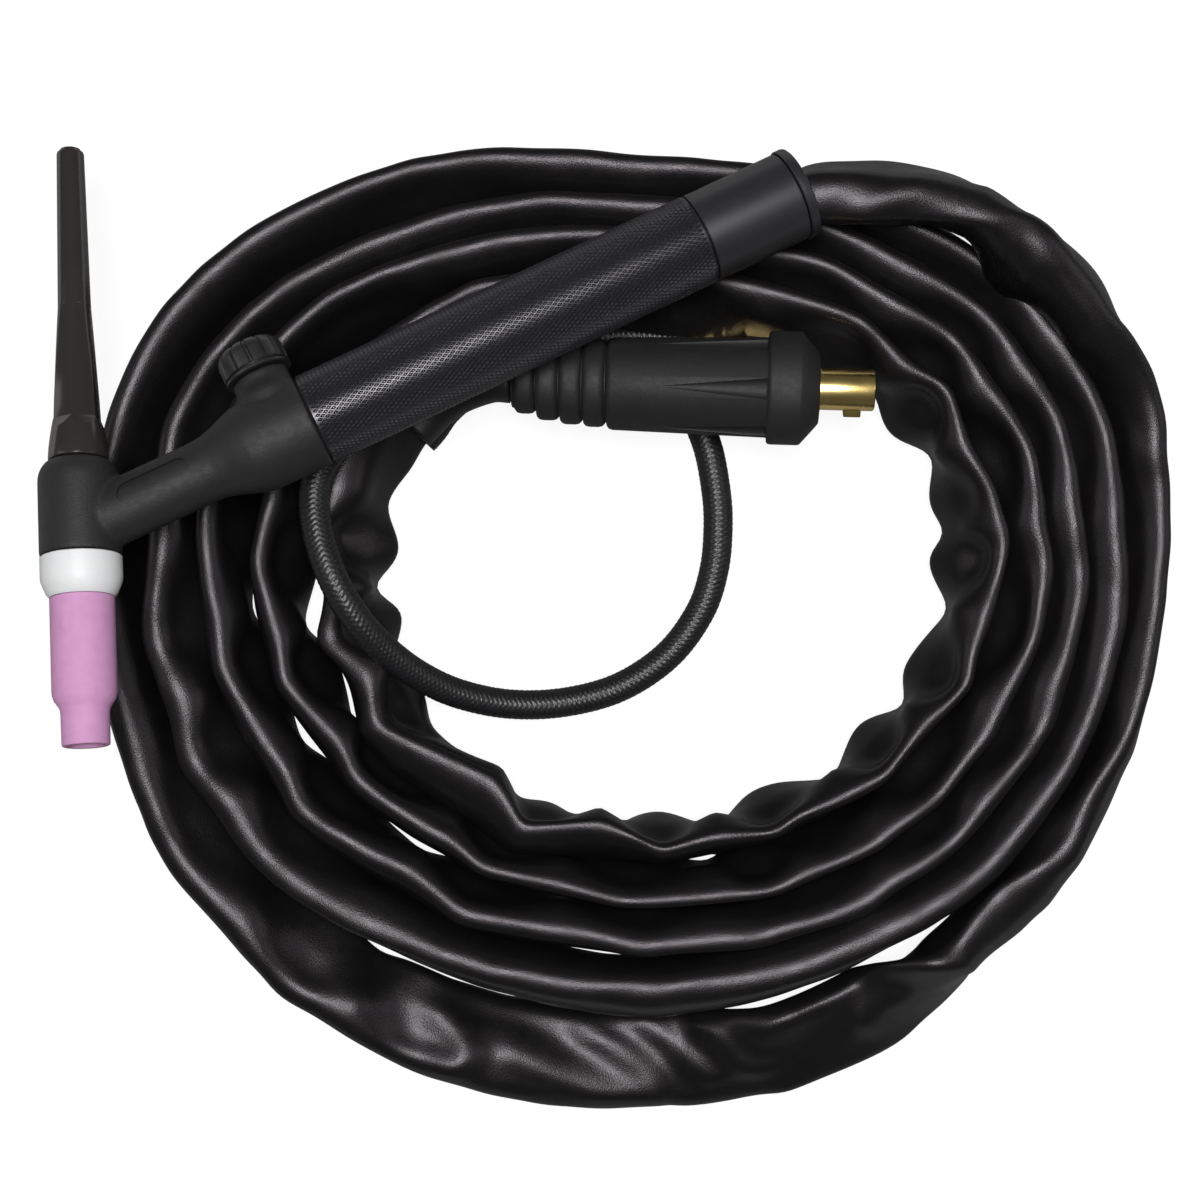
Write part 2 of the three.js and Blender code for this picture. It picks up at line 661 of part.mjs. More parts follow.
function coilRing(angle) {
  const edgePoint = ridgePoint(angle);
  const ahead = ridgePoint(angle + 1).sub(ridgePoint(angle - 1)).normalize();
  const outward = new THREE.Vector3(-ahead.y, ahead.x, 0);
  return sleeveSection(between(leans, leanBefore, angle)).map(([side, height]) => (
    edgePoint.clone().addScaledVector(outward, side).setZ(height)));
}

// The least distance between points of the coil that lie half a turn or more apart
function leastGap(rings) {
  const shares = [0, 1 / 3, 2 / 3];
  const dense = rings.map((points) => points.flatMap((point, j) => shares.map((share) => (
    point.clone().lerp(points[(j + 1) % points.length], share)))));
  let least = Infinity;
  for (let i = 0; i < dense.length; i++) {
    for (let k = i + coilSteps / 2; k < dense.length; k++) {
      for (const first of dense[i]) {
        for (const second of dense[k]) least = Math.min(least, first.distanceTo(second));
      }
    }
  }
  return least;
}

const coilAngles = [];
for (let angle = coilStart; angle < coilEnd; angle += 360 / coilSteps) coilAngles.push(angle);
coilAngles.push(coilEnd);
const coilRings = coilAngles.map(coilRing);
console.log('least gap in the coil, mm:', leastGap(coilRings).toFixed(2));
piece(layout, 'sleeve_coil', sweep(coilRings), sleeveLeather);

function sleeveLead() {
  const path = new THREE.CatmullRomCurve3(leadRoute.map(([x, y, z]) => new THREE.Vector3(x, y, z)));
  const rings = leadRoute.map(([, , , width, thick, lean], i) => {
    const t = i / (leadRoute.length - 1);
    const ahead = path.getTangent(t);
    const level = new THREE.Vector3(-ahead.y, ahead.x, 0).normalize();
    const upward = new THREE.Vector3().crossVectors(ahead, level).normalize();
    const across = upward.clone().applyAxisAngle(ahead, degrees(-lean));
    const through = new THREE.Vector3().crossVectors(ahead, across);
    return Array.from({ length: leadSides }, (_, j) => {
      const turn = (2 * Math.PI * (j + 0.5)) / leadSides;
      return path.getPoint(t).addScaledVector(across, leadFullness * width * Math.cos(turn))
        .addScaledVector(through, leadFullness * thick * Math.sin(turn));
    });
  });
  return sweep(rings);
}
piece(layout, 'sleeve_lead', sleeveLead(), sleeveLeather);

// ---------------------------------------------------------------- power cable, gas hose and its end

function cord(route, radius, steps) {
  const path = new THREE.CatmullRomCurve3(route.map(([x, y, z]) => new THREE.Vector3(x, y, z)));
  const section = new THREE.Shape();
  section.absarc(0, 0, radius, 0, 2 * Math.PI);
  return new THREE.ExtrudeGeometry(section, { steps, extrudePath: path, curveSegments: 5 });
}
piece(layout, 'power_cable', cord(cableRoute, cableRadius, cableSteps), rubber);
piece(layout, 'gas_hose', cord(hoseRoute, hoseRadius, hoseSteps), braid);

const hoseEnd = new THREE.Group(); // +X runs out of the nut
hoseEnd.position.set(...fitting.place);
hoseEnd.rotation.z = degrees(fitting.turn);
layout.add(hoseEnd);

piece(hoseEnd, 'hose_ferrule', alongX(tube(ferrule.radius, ferrule.bore, 0, ferrule.length)), brass);

const collarFace = tail.collarAt + tail.collarLength;
piece(hoseEnd, 'hose_tail', alongX(turned([
  [tail.bore, tail.start], [tail.barb, tail.start], [tail.barb, ferrule.length + gap],
  [tail.neck, ferrule.length + gap], [tail.neck, tail.collarAt], [tail.collar, tail.collarAt],
  [tail.collar, collarFace],
  [tailCone.end, collarFace + tailCone.length], [tail.bore, collarFace + tailCone.length],
], fine)), brass);

function hoseNut() {
  const corner = nut.across / (2 * Math.cos(Math.PI / 6));
  const hexagon = alongX(rod(corner, nut.start, nut.end, 6)).rotateX(Math.PI / 6);
  const chamfer = alongX(turned([
    [0, nut.start], [corner - nut.chamfer, nut.start], [corner + nut.corner, nut.start + nut.chamfer],
    [corner + nut.corner, nut.end - nut.chamfer], [corner - nut.chamfer, nut.end], [0, nut.end],
  ]));
  return without(
    solid(hexagon).intersect(solid(chamfer)),
    alongX(rod(tail.neck + gap, nut.start - over, nut.end)),
    alongX(rod(tail.collar + gap, nut.start + nut.lip, nut.end + over)),
  );
}
piece(hoseEnd, 'hose_nut', hoseNut(), brass);

// ---------------------------------------------------------------- plug

const plug = new THREE.Group(); // +X runs from the rear of the grip to the pin
const plugAxis = new THREE.Vector3(...plugFront).sub(new THREE.Vector3(...plugBack));
const plugLength = plugAxis.length();
plug.position.set(...plugBack);
plug.rotation.order = 'ZYX';
plug.rotation.z = Math.atan2(plugAxis.y, plugAxis.x);
plug.rotation.y = -Math.asin(plugAxis.z / plugLength);
layout.add(plug);

function plugBody() {
  const outline = [[0, 0]];
  let along = 0;
  for (const [length, radius] of reliefRings) {
    outline.push(
      [radius - reliefGroove, along], [radius, along + reliefRound.start],
      [radius, along + length - reliefRound.end],
      [radius - reliefGroove, along + length - edge],
    );
    along += length;
  }
  outline.push(
    [gripRadius - reliefGroove, along], [gripRadius, along + gripRound], [gripEndRadius, gripEnd],
    [flangeRadius - edge, gripEnd], [flangeRadius, gripEnd + edge], [flangeRadius, flangeEnd],
    [plugFace + plugBevel.width, plugLength - plugBevel.length], [plugFace, plugLength - gap],
    [0, plugLength - gap],
  );
  const wedge = new THREE.Shape();
  const wedgeLength = gripEnd - recess.start;
  wedge.moveTo(0, 0);
  wedge.lineTo(wedgeLength, recess.width / 2);
  wedge.lineTo(wedgeLength, -recess.width / 2);
  const cuts = Array.from({ length: recesses }, (_, i) => (
    prism(wedge, gripRadius).rotateY(Math.atan(recess.depth / wedgeLength))
      .translate(recess.start, 0, gripRadius).rotateX((2 * Math.PI * i) / recesses)));
  return without(
    alongX(turned(outline)), ...cuts,
    alongX(rod(cableRadius + gap, -over, jacketRoomEnd, round)),
    alongX(rod(shankRadius + gap, jacketRoomEnd, plugLength + over, round)),
  );
}
piece(plug, 'plug_body', plugBody(), rubber);

function plugPin() {
  const pinEnd = plugLength + pinLength;
  const outside = turned([
    [0, shankStart], [shankRadius, shankStart], [shankRadius, plugLength], [pinRadius, plugLength],
    [pinRadius, pinEnd - pinBevel], [pinRadius - pinBevel, pinEnd], [0, pinEnd],
  ]);
  const lugReach = pinRadius + lug.height;
  const nib = new THREE.BoxGeometry(lug.length, lug.width, lugReach)
    .translate(plugLength + lug.start + lug.length / 2, 0, lugReach / 2).rotateX(degrees(lug.turn));
  return without(
    solid(alongX(outside)).add(solid(nib)),
    alongX(rod(crimpRadius + gap, shankStart - over, shankStart + socketDepth)),
    rod(clamp.radius + gap, 0, 2 * shankRadius).translate(clamp.at, 0, 0),
  );
}
piece(plug, 'plug_pin', plugPin(), brass);

piece(plug, 'plug_cable', alongX(rod(cableRadius, 0, jacketEnd)), rubber);
piece(plug, 'plug_cable_ferrule', alongX(
  tube(crimpRadius, crimpBore, jacketEnd + gap, shankStart + socketDepth - gap)), copper);
piece(plug, 'plug_screw', rod(clamp.radius, crimpRadius + gap, shankRadius - edge)
  .translate(clamp.at, 0, 0), brass);

// ---------------------------------------------------------------- origin

const restHeight = sleeveWidth * Math.sin(degrees(leans[0]));
layout.position.set(restHeight - ridgeRadii[0], 0, 0);

export default object;
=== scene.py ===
# A gas-valve TIG torch lying on its coiled sleeve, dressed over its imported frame.
# Metres, +Z up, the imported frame's axes and origin; tables of sizes and places are in millimetres.
import math

import bmesh
import bpy
import numpy as np
from mathutils import Matrix, Vector


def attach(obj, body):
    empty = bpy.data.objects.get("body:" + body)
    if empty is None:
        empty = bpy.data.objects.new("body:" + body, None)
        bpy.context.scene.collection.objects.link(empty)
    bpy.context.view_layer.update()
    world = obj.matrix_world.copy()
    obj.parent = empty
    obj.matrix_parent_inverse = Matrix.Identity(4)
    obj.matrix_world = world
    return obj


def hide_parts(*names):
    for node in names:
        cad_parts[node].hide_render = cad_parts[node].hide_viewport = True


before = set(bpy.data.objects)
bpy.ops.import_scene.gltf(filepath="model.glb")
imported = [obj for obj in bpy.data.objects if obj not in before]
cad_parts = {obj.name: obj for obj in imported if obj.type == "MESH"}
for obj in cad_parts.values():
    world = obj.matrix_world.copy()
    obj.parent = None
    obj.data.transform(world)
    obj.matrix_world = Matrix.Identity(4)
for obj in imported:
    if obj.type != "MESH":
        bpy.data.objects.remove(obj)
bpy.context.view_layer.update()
bpy.ops.object.select_all(action="DESELECT")

# ---------------------------------------------------------------- camera
# It hangs over the coil and looks straight down, a little to the left of the coil's middle. Its
# lens is a long one, so that upright pieces show little of their sides.

MM = 0.001
coil_middle = Vector((-142.573, 0, 0)) * MM
camera_height = 623 * MM
camera_left = 15 * MM
bpy.ops.object.camera_add(location=(coil_middle.x - camera_left, 0, camera_height), rotation=(0, 0, 0))
camera = bpy.context.object
camera.data.sensor_width = 36
camera.data.lens = 57
camera.data.clip_start = 0.02
bpy.context.scene.camera = camera

# ---------------------------------------------------------------- cable sleeve
# A flat sleeve of black synthetic leather over cable and hose, tucked into the handle's rear. It
# stands on edge in four and a half turns, leaning out, but lies flat and turns over in the first.
# Being too long on the inside of each turn, its inner wall buckles into bowls and pinched folds.

sleeve_width = 31 * MM
sleeve_thick = 10.5 * MM
# Directions are in degrees, clockwise from +X, and count on from turn to turn
coil_start = -15
turned_over = 86
coil_end = 4 * 360 + 221
# Radius of the sleeve's upper edge every 30 degrees, a row for each turn. Before the place where it
# turns over, the other edge is the upper one
radii_before = [173.5, 161.5, 150.5, 138.5, 133.5]
ridge_radii = [
    161.5, 158.5, 158.5, 164.2, 168, 170.5, 174, 177.5, 157, 139.5, 145.5, 155.5,
    149, 141, 127.5, 121.7, 128.5, 147, 157, 158, 139.5, 127, 133.3, 142,
    136, 126.5, 114.7, 109.2, 114.5, 126.5, 137, 143.5, 128.5, 115.5, 120.8, 129.2,
    124.8, 111.1, 99.8, 94.1, 97.7, 108, 120.5, 123, 112.6, 105, 108.5, 113.4,
    107.8, 96.1, 83.2, 78.5, 80.9, 87, 101.5, 109.5, 105,
]
# Direction and swing of that edge: out to a point over each bowl of the inner wall, in between them
edge_swings = [
    [(-30, 0), (16, 0.5), (24, -1.5), (31, 3.5), (40, -3.5), (49.5, 4), (58.5, -4), (75, 2.5), (85.9, 0),
     (86, 0), (112, -0.8), (118, 0.8), (126, -1.4), (133, 1.7), (141, -0.9), (152, 1.9), (165, -1),
     (190, 0.5), (215, -0.5), (240, 0.5), (262, -0.5), (285, 0.5), (300, -0.4), (318, 0.7), (327, -0.5),
     (339, 0.9), (350, -0.5)],
    [(0, 2), (20, 0.4), (28, -0.3), (38, 1.4), (90, -0.2), (147, 2.8), (154, 0.8), (160.5, 4.5),
     (167.5, -0.3), (176, 3), (187, -1.7), (201, 2.6), (212, 0), (235, -0.6), (255, 0.5), (275, -0.5),
     (294, 0.6), (308, -0.7), (320, 1), (328, -0.8), (336, 1), (348, -0.7)],
    [(-4, 2.5), (8, 0.4), (17, 2.6), (29, -0.3), (38, 1.1), (48, 0.3), (54, 2.8), (65, 0.7), (71, 1.5),
     (83, 0), (91, 0.8), (105, -2.5), (121, 0.6), (131, -4.1), (149, 1.9), (156, -1.8), (171, 1.5),
     (178, -0.1), (191, 2.3), (203, -1), (222, 0.8), (243, -0.8), (262, 0.7), (282, -0.7), (298, 1),
     (310, -1), (320, 1.3), (327, -1.1), (338, 1.4), (349, -1)],
    [(-6, 1.5), (1, 0.3), (5, 0.5), (14, -0.7), (20, 1.2), (28, 0.6), (33, 2.2), (42, 0.9), (46, 1.9),
     (57, 0.4), (65, 1.7), (80, 0.3), (95, 1.4), (107, -1.2), (122, 0.9), (130, -2), (149, 0.4), (155, -2.5),
     (168, 1.6), (174, -1.5), (186, 2.1), (192, 0.2), (205, 1.7), (222, -1.7), (240, 1.5), (258, -1.3),
     (276, 1.3), (292, -1.3), (308, 1.7), (317, -1.7), (325, 2.3), (333.5, -2.1), (342, 1.3)],
    [(-10, 3.9), (9, -1), (14, 1.5), (28, -2.8), (36, -0.5), (54, -2.2), (61, 0.3), (76, -2.5), (87, -0.2),
     (101, -6.6), (119, 0.5), (130, -7), (156, 5.2), (164, -0.7), (174, 5.6), (182, -2.6), (192, 2),
     (204, 0), (216, 0), (225, 0)],
]
# Direction and how many degrees the sleeve leans out there; at 90 it lies flat
leans = [
    [(-15, 31), (0, 27), (10, 12), (16, 2), (24, -2), (31, 0), (40, -13), (49, -9), (56, -42), (61, -60),
     (75, -62), (85.9, -88), (86, 90), (96, 84), (106, 76), (118, 60), (133, 42), (150, 30), (180, 20),
     (210, 26), (240, 30), (270, 33), (330, 32)],
    [(0, 28), (30, 24), (60, 6), (90, -4), (120, 4), (150, 20), (180, 26), (210, 26), (240, 30), (270, 33),
     (330, 32)],
    [(0, 28), (30, 24), (60, 14), (90, 10), (120, 6), (150, 5), (180, 6), (210, 14), (240, 27), (270, 30),
     (300, 28), (330, 29)],
    [(0, 26), (30, 22), (60, 12), (90, 8), (120, 6), (150, 5), (180, 6), (210, 14), (240, 26), (270, 38),
     (300, 24), (330, 13)],
    [(0, 14), (30, 10), (60, 5), (90, 0), (120, -6), (150, -6), (180, 20), (210, 38), (240, 24)],
]
# From the handle to the coil: point from the coil's middle, width, thickness and lean
lead_route = [
    (45.2, 120.4, 43.8, 15, 15, -24), (47.8, 121, 43.5, 16.5, 16.5, -24), (52.5, 121.3, 43, 18, 17.5, -26),
    (61, 121.6, 42.4, 20, 17.5, -28), (74, 121.6, 41.4, 22, 17, -28), (89, 120.6, 40.6, 25, 15.5, -22),
    (103.6, 115.6, 38.8, 28, 17, -4), (113.6, 111.4, 36, 30, 18, 14), (121.2, 105.4, 34.4, 31, 19.5, 9),
    (129.2, 97.2, 31, 31, 20, -1), (135.8, 89.2, 28.4, 31, 18.5, 0), (143.8, 79, 24, 31, 15.5, 15),
    (149.5, 68, 18.6, 31, 12, 28), (153.4, 55.7, 16.2, 31, 11, 31), (154.3, 42.8, 15.4, 31, 10.6, 29),
]
# Direction of each bowl (+) and pinched fold (-) of the inner wall, and how deep it is
buckles = [
    [(-15, 0), (-4, 0.5), (8, -0.3), (24, 0.6), (31, -1), (40, 0.8), (50, -1), (58, 1), (74, -1.6),
     (86, 1.3), (98, -1), (112, -0.9), (119, 1.1), (126, -0.8), (134, 1.2), (142, -0.7), (153, 1),
     (166, -0.4), (190, 0.5), (215, -0.5), (240, 0.5), (262, -0.5), (285, 0.5), (300, -0.4), (318, 0.8),
     (327, -0.6), (339, 1), (350, -0.6)],
    [(0, -0.2), (20, 0.5), (28, -0.4), (39, 0.4), (60, -0.1), (120, 0.2), (132, -0.5), (147, 1), (154, -0.8),
     (161, 1.2), (168, -1), (177, 1.2), (188, -0.8), (202, 1), (235, -0.6), (255, 0.5), (275, -0.5),
     (294, 0.6), (308, -0.7), (320, 1), (328, -0.8), (336, 1), (348, -0.7)],
    [(2, 0.7), (12, -0.5), (22, 0.8), (31, -0.8), (38, 0.8), (50, -0.5), (62, 0.6), (78, -0.5), (92, 0.6),
     (105, -0.6), (121, 0.9), (131, -0.6), (149, 1.1), (157, -0.8), (171, 1), (178, -0.8), (190, 0.8),
     (203, -0.7), (222, 0.6), (243, -0.6), (262, 0.5), (282, -0.5), (298, 0.7), (310, -0.7), (320, 0.9),
     (327, -0.8), (338, 1), (349, -0.7)],
    [(5, 1), (17, -1), (31, 1), (44, -0.9), (54, 0.3), (60, -0.4), (68, 0.9), (77, -0.8), (94, 0.5),
     (107, -0.7), (122, 0.9), (131, -0.7), (149, 1.2), (156, -0.9), (168, 1.2), (175, -0.8), (187, 1.2),
     (195, -0.5), (205, 0.8), (222, -0.8), (240, 0.7), (258, -0.6), (276, 0.6), (292, -0.6), (308, 0.8),
     (317, -0.8), (325, 1.1), (333.5, -1), (342, 0.6), (348, -0.3), (353, 1.1)],
    [(2, -1), (16, 1), (23, -0.9), (33, 1.1), (44, -1), (61, 1), (73, -1.1), (88, 1.1), (102, -1.1),
     (115, 1.1), (130, -1.1), (145, 0.2), (157, 1.1), (166, -0.8), (175, 1), (182, -1.2), (190, 1.1),
     (200, -0.7), (216, 0)],
]
# How far the foot of the wall swings in each turn
foot_swings = [2.6, 2.4, 3.0, 3.8, 4.8]
# Folds where the sleeve is twisted or lies flat: height, breadth, and points from the coil's middle
folds = [
    (1.3, 5.5, [(58, 111), (64, 115), (71, 120), (79, 125), (88, 129)]),
    (2.3, 5.4, [(-73.2, -124.8), (-65.7, -131), (-58.9, -138.5), (-56.4, -144.7), (-62, -148.7),
                (-73.2, -146.5)]),
    (2.8, 6.4, [(-54.5, -138), (-43.3, -144.7), (-29.7, -151.5), (-11, -157.7), (3.9, -160.2),
                (9.5, -158.3)]),
    (1.9, 4.8, [(-27.2, -132.7), (-18.5, -139.6), (-8.5, -145.9), (1.4, -152.1), (8.9, -158.1)]),
    (2.5, 5.0, [(-7, -131.2), (-1.6, -135), (3.9, -139.6), (11.3, -146.4), (21.3, -154), (32.5, -155.9)]),
    (2.0, 4.4, [(12.5, -131.2), (16.8, -137.5), (23.3, -142.4), (29.3, -148.3), (35.5, -151.4),
                (46.2, -150.3)]),
    (3.0, 4.4, [(36.2, -136.7), (46.2, -132.9), (61.1, -126), (73.5, -116.1), (87.2, -113.9),
                (100.8, -116.1)]),
    (2.4, 6.0, [(64.8, -138), (73.5, -129.5), (83.4, -124.8)]),
]


def smooth_between(rows, at):
    """Smooth values at fractional places in a list of numbers or rows."""
    rows = np.asarray(rows, float)
    first = np.clip(np.floor(at).astype(int), 0, len(rows) - 2)
    t = at - first
    if rows.ndim > 1:
        t = t[:, None]
    p, q, r, s = (rows[np.clip(first + shift, 0, len(rows) - 1)] for shift in (-1, 0, 1, 2))
    return q + 0.5 * t * (r - p + t * (2 * p - 5 * q + 4 * r - s + t * (3 * (q - r) + s - p)))


def evenly_spaced(rows, step):
    """Rows at even distances along a line whose points are the rows' first three numbers."""
    gaps = np.linalg.norm(np.diff(rows[:, :3], axis=0), axis=1)
    along = np.concatenate([[0], np.cumsum(gaps)])
    stations = np.linspace(0, along[-1], int(round(along[-1] / step)) + 1)
    return np.stack([np.interp(stations, along, column) for column in rows.T], axis=1), stations


def eased(values, reach):
    """The same values with their jumps eased over the neighbours within reach."""
    weights = np.hanning(2 * reach + 3)[1:-1]
    padded = np.pad(values, (reach, reach), mode="reflect", reflect_type="odd")
    return np.convolve(padded, weights / weights.sum(), mode="valid")


def bell(x, middle, breadth):
    """A smooth hump from 0 to 1 and back."""
    return np.exp(-(((x - middle) / breadth) ** 2))


def along_turns(turns, angle, curve):
    """Values round the whole coil from the points of each turn, with a curve from low to high."""
    points = sorted((360 * turn + at, value) for turn, row in enumerate(turns) for at, value in row)
    at, value = np.array(points).T
    first = np.clip(np.searchsorted(at, angle, side="right") - 1, 0, len(at) - 2)
    t = np.clip((angle - at[first]) / (at[first + 1] - at[first]), 0, 1)
    start, end = value[first], value[first + 1]
    low, high = np.minimum(start, end), np.maximum(start, end)
    return low + (high - low) * curve(np.where(end > start, t, 1 - t))


# The sleeve is wider where it lies flat, and fuller at one side of the coil and where it is twisted:
# millimetres more, direction and breadth
wider_flat = (2, 90, 30)
fuller_each_turn = (4, 155, 42)
fuller_once = [(4.4, 1575, 38), (8, 440, 46), (3, 810, 50), (8, 38, 20)]
lying_height = 1.2
floor_gap = 0.2
coil_step = 0.4


def sleeve_middle():
    """Rows of middle point, width, thickness, lean, direction and swing of the edge.

    Before the place where the sleeve turns over, its lean has half a turn added.
    """
    lead = smooth_between(lead_route, np.linspace(0, len(lead_route) - 1, 400))
    lead[:, 5] += 180
    lead_angle = np.linspace(coil_start - 70, coil_start, len(lead))
    lead = np.column_stack([lead, lead_angle, np.zeros(len(lead))])

    angle = np.arange(coil_start, coil_end + 0.01, coil_step)
    over = angle < turned_over
    radius_before = smooth_between(radii_before, np.minimum(angle / 30 + 1, 4))
    radius = np.where(over, radius_before, smooth_between(ridge_radii, angle / 30))
    swing = eased(along_turns(edge_swings, angle, lambda up: up ** 1.6), 7)
    lean = along_turns(leans, angle, lambda up: up)
    upright_share, lying_share = np.cos(np.radians(lean)), np.sin(np.radians(lean))
    half = sleeve_width / MM / 2
    turn = np.radians(angle)
    middle_radius = radius - half * lying_share
    middle = np.column_stack([middle_radius * np.cos(turn), -middle_radius * np.sin(turn)])
    height = half * upright_share + lying_height * lying_share ** 4 + floor_gap

    more, place, breadth = wider_flat
    width = sleeve_width / MM + more * bell(angle, place, breadth)
    more, place, breadth = fuller_each_turn
    thick = sleeve_thick / MM + more * bell(angle % 360, place, breadth)
    for more, place, breadth in fuller_once:
        thick += more * bell(angle, place, breadth)
    coil = np.column_stack([middle, height, width, thick, lean + 180 * over, angle, swing])
    return np.concatenate([lead[:-4], coil[3:]])


sleeve_step = 2.2
sleeve_rows, along_sleeve = evenly_spaced(sleeve_middle(), sleeve_step)
for column in range(6):
    sleeve_rows[:, column] = eased(sleeve_rows[:, column], 3)


def rise(x):
    """Quarter of a circle: from 0 to 1 as x goes from 0 to 1, then level."""
    return np.sqrt(1 - (1 - np.clip(x, 0, 1)) ** 2)


def round_the_wall(quarter=13):
    """For each point of a ring, how far down the wall it is and its side: -1 inner, 1 outer."""
    reach = (np.arange(quarter) / quarter) ** 1.7
    one_side = np.concatenate([reach / 2, [0.5], 1 - reach[:0:-1] / 2])
    down = np.concatenate([one_side, [1], one_side[:0:-1]])
    side = np.concatenate([[0], -np.ones(len(one_side) - 1), [0], np.ones(len(one_side) - 1)])
    return down, side


def wall_fullness(down, side, lean, flat):
    """Shares of the thickness at which the wall stands off the middle.

    A leaning sleeve has a sharp upper edge, steep on the side it leans to and sloping on the other.
    A flat one is even.
    """
    slope = 0.62 * rise(down / 0.36) * rise((1 - down) / 0.14)
    steep = (0.1 * rise(down / 0.035) + 0.28 * np.sin(math.pi * down) ** 0.8) * rise((1 - down) / 0.08)
    even = 0.55 * rise(down / 0.2) * rise((1 - down) / 0.2)
    steepness = (1 + np.clip(lean / 9, -1, 1)[:, None] * side) / 2
    return ((slope + (steep - slope) * steepness) * (1 - flat) + even * flat) * side


bowl_depth = 4.4
pinch_height = 2.4


def wall_buckling(down, side, angle, edge, share):
    """How far the bowls, the swinging foot and the edge's points move the wall inwards."""
    bowl = along_turns(buckles, angle, lambda up: np.sin(math.pi / 2 * up) ** 1.15)
    foot_swing = np.interp(angle, 360 * np.arange(len(foot_swings)) + 180, foot_swings)
    foot = eased(bowl * foot_swing, 2) * share
    depth = foot_swing / max(foot_swings)
    bowl = bowl * share
    fall = np.clip((down - 0.35) / 0.65, 0, 1)
    inner = side < 0
    inward = foot[:, None] * fall * fall * (3 - 2 * fall)
    inward -= edge[:, None] * (1 - down) ** 1.6
    inward -= (bowl_depth * depth * np.clip(bowl, 0, 1))[:, None] * inner * bell(down, 0.27, 0.17)
    inward += (pinch_height * depth * np.clip(-bowl, 0, 1))[:, None] * inner * bell(down, 0.3, 0.2)
    return inward


def sleeve_rings():
    """Rings of points round the sleeve, and the direction through its wall at each."""
    middle, (width, thick, lean, angle, edge) = sleeve_rows[:, :3], sleeve_rows[:, 3:].T
    over = lean > 90
    lean = lean - 180 * over
    ahead = np.gradient(middle, axis=0)
    ahead[:, 2] = 0
    ahead /= np.linalg.norm(ahead, axis=1)[:, None]
    outward = np.column_stack([-ahead[:, 1], ahead[:, 0], np.zeros(len(ahead))])
    up = np.array([0, 0, 1.0])
    lying, standing = np.sin(np.radians(lean))[:, None], np.cos(np.radians(lean))[:, None]
    across = up * standing + outward * lying
    through = outward * standing - up * lying

    down, side = round_the_wall()
    flat = np.clip((np.abs(lean) - 52) / 30, 0, 1)
    in_coil = np.clip((angle - coil_start + 12) / 14, 0, 1)
    offset = thick[:, None] * wall_fullness(down, side, lean, flat[:, None])
    offset -= wall_buckling(down, side, angle, edge * in_coil, in_coil * (1 - flat))
    points = middle[:, None, :] + across[:, None, :] * (width[:, None] / 2 * (1 - 2 * down))[..., None]
    points = points + through[:, None, :] * offset[..., None]
    # The upper edge is the other one before the sleeve turns over, so those rings start there
    points[over] = np.roll(points[over], len(down) // 2, axis=1)
    return points, through


folds_end = 175
unevenness = 0.28
lowest = 0.05


def fold_heights(x, y):
    """How far the folds lift the wall at each place."""
    lift = np.zeros_like(x)
    for height, breadth, points in folds:
        points = np.array(points, float)
        nearest = np.full(x.shape, 1e9)
        share = np.zeros_like(x)
        for number, (start, end) in enumerate(zip(points, points[1:])):
            run = end - start
            t = np.clip(((x - start[0]) * run[0] + (y - start[1]) * run[1]) / run.dot(run), 0, 1)
            distance = np.hypot(x - start[0] - t * run[0], y - start[1] - t * run[1])
            closer = distance < nearest
            nearest = np.where(closer, distance, nearest)
            share = np.where(closer, (number + t) / (len(points) - 1), share)
        fade = np.clip(share / 0.2, 0, 1) * np.clip((1 - share) / 0.2, 0, 1)
        lift += height * (0.25 + 0.75 * fade) * bell(nearest, 0, breadth)
    return lift


def fold_in(points, through):
    """Adds the folds on the upper side of the first turn, and a slight unevenness all over."""
    away = points - points.mean(axis=1, keepdims=True)
    away /= np.maximum(np.linalg.norm(away, axis=2, keepdims=True), 1e-6)
    upper = np.clip(away[..., 2] * 1.6, 0, 1) * (sleeve_rows[:, 6] < folds_end)[:, None]
    lift = fold_heights(points[..., 0], points[..., 1]) * upper
    lift = lift * (0.7 + 0.3 * np.abs(through[:, 2])[:, None])
    raised = points + (away * 0.5 + np.array([0, 0, 0.6])) * lift[..., None]
    x, y, z = raised[..., 0], raised[..., 1], raised[..., 2]
    uneven = np.sin(x * 0.21 + 1.3 * np.sin(y * 0.13))
    uneven = uneven * np.sin(y * 0.19 + 0.9 * np.sin(z * 0.3 + x * 0.11))
    raised = raised + away * (unevenness * uneven)[..., None]
    raised[..., 2] = np.maximum(raised[..., 2], lowest)
    return raised


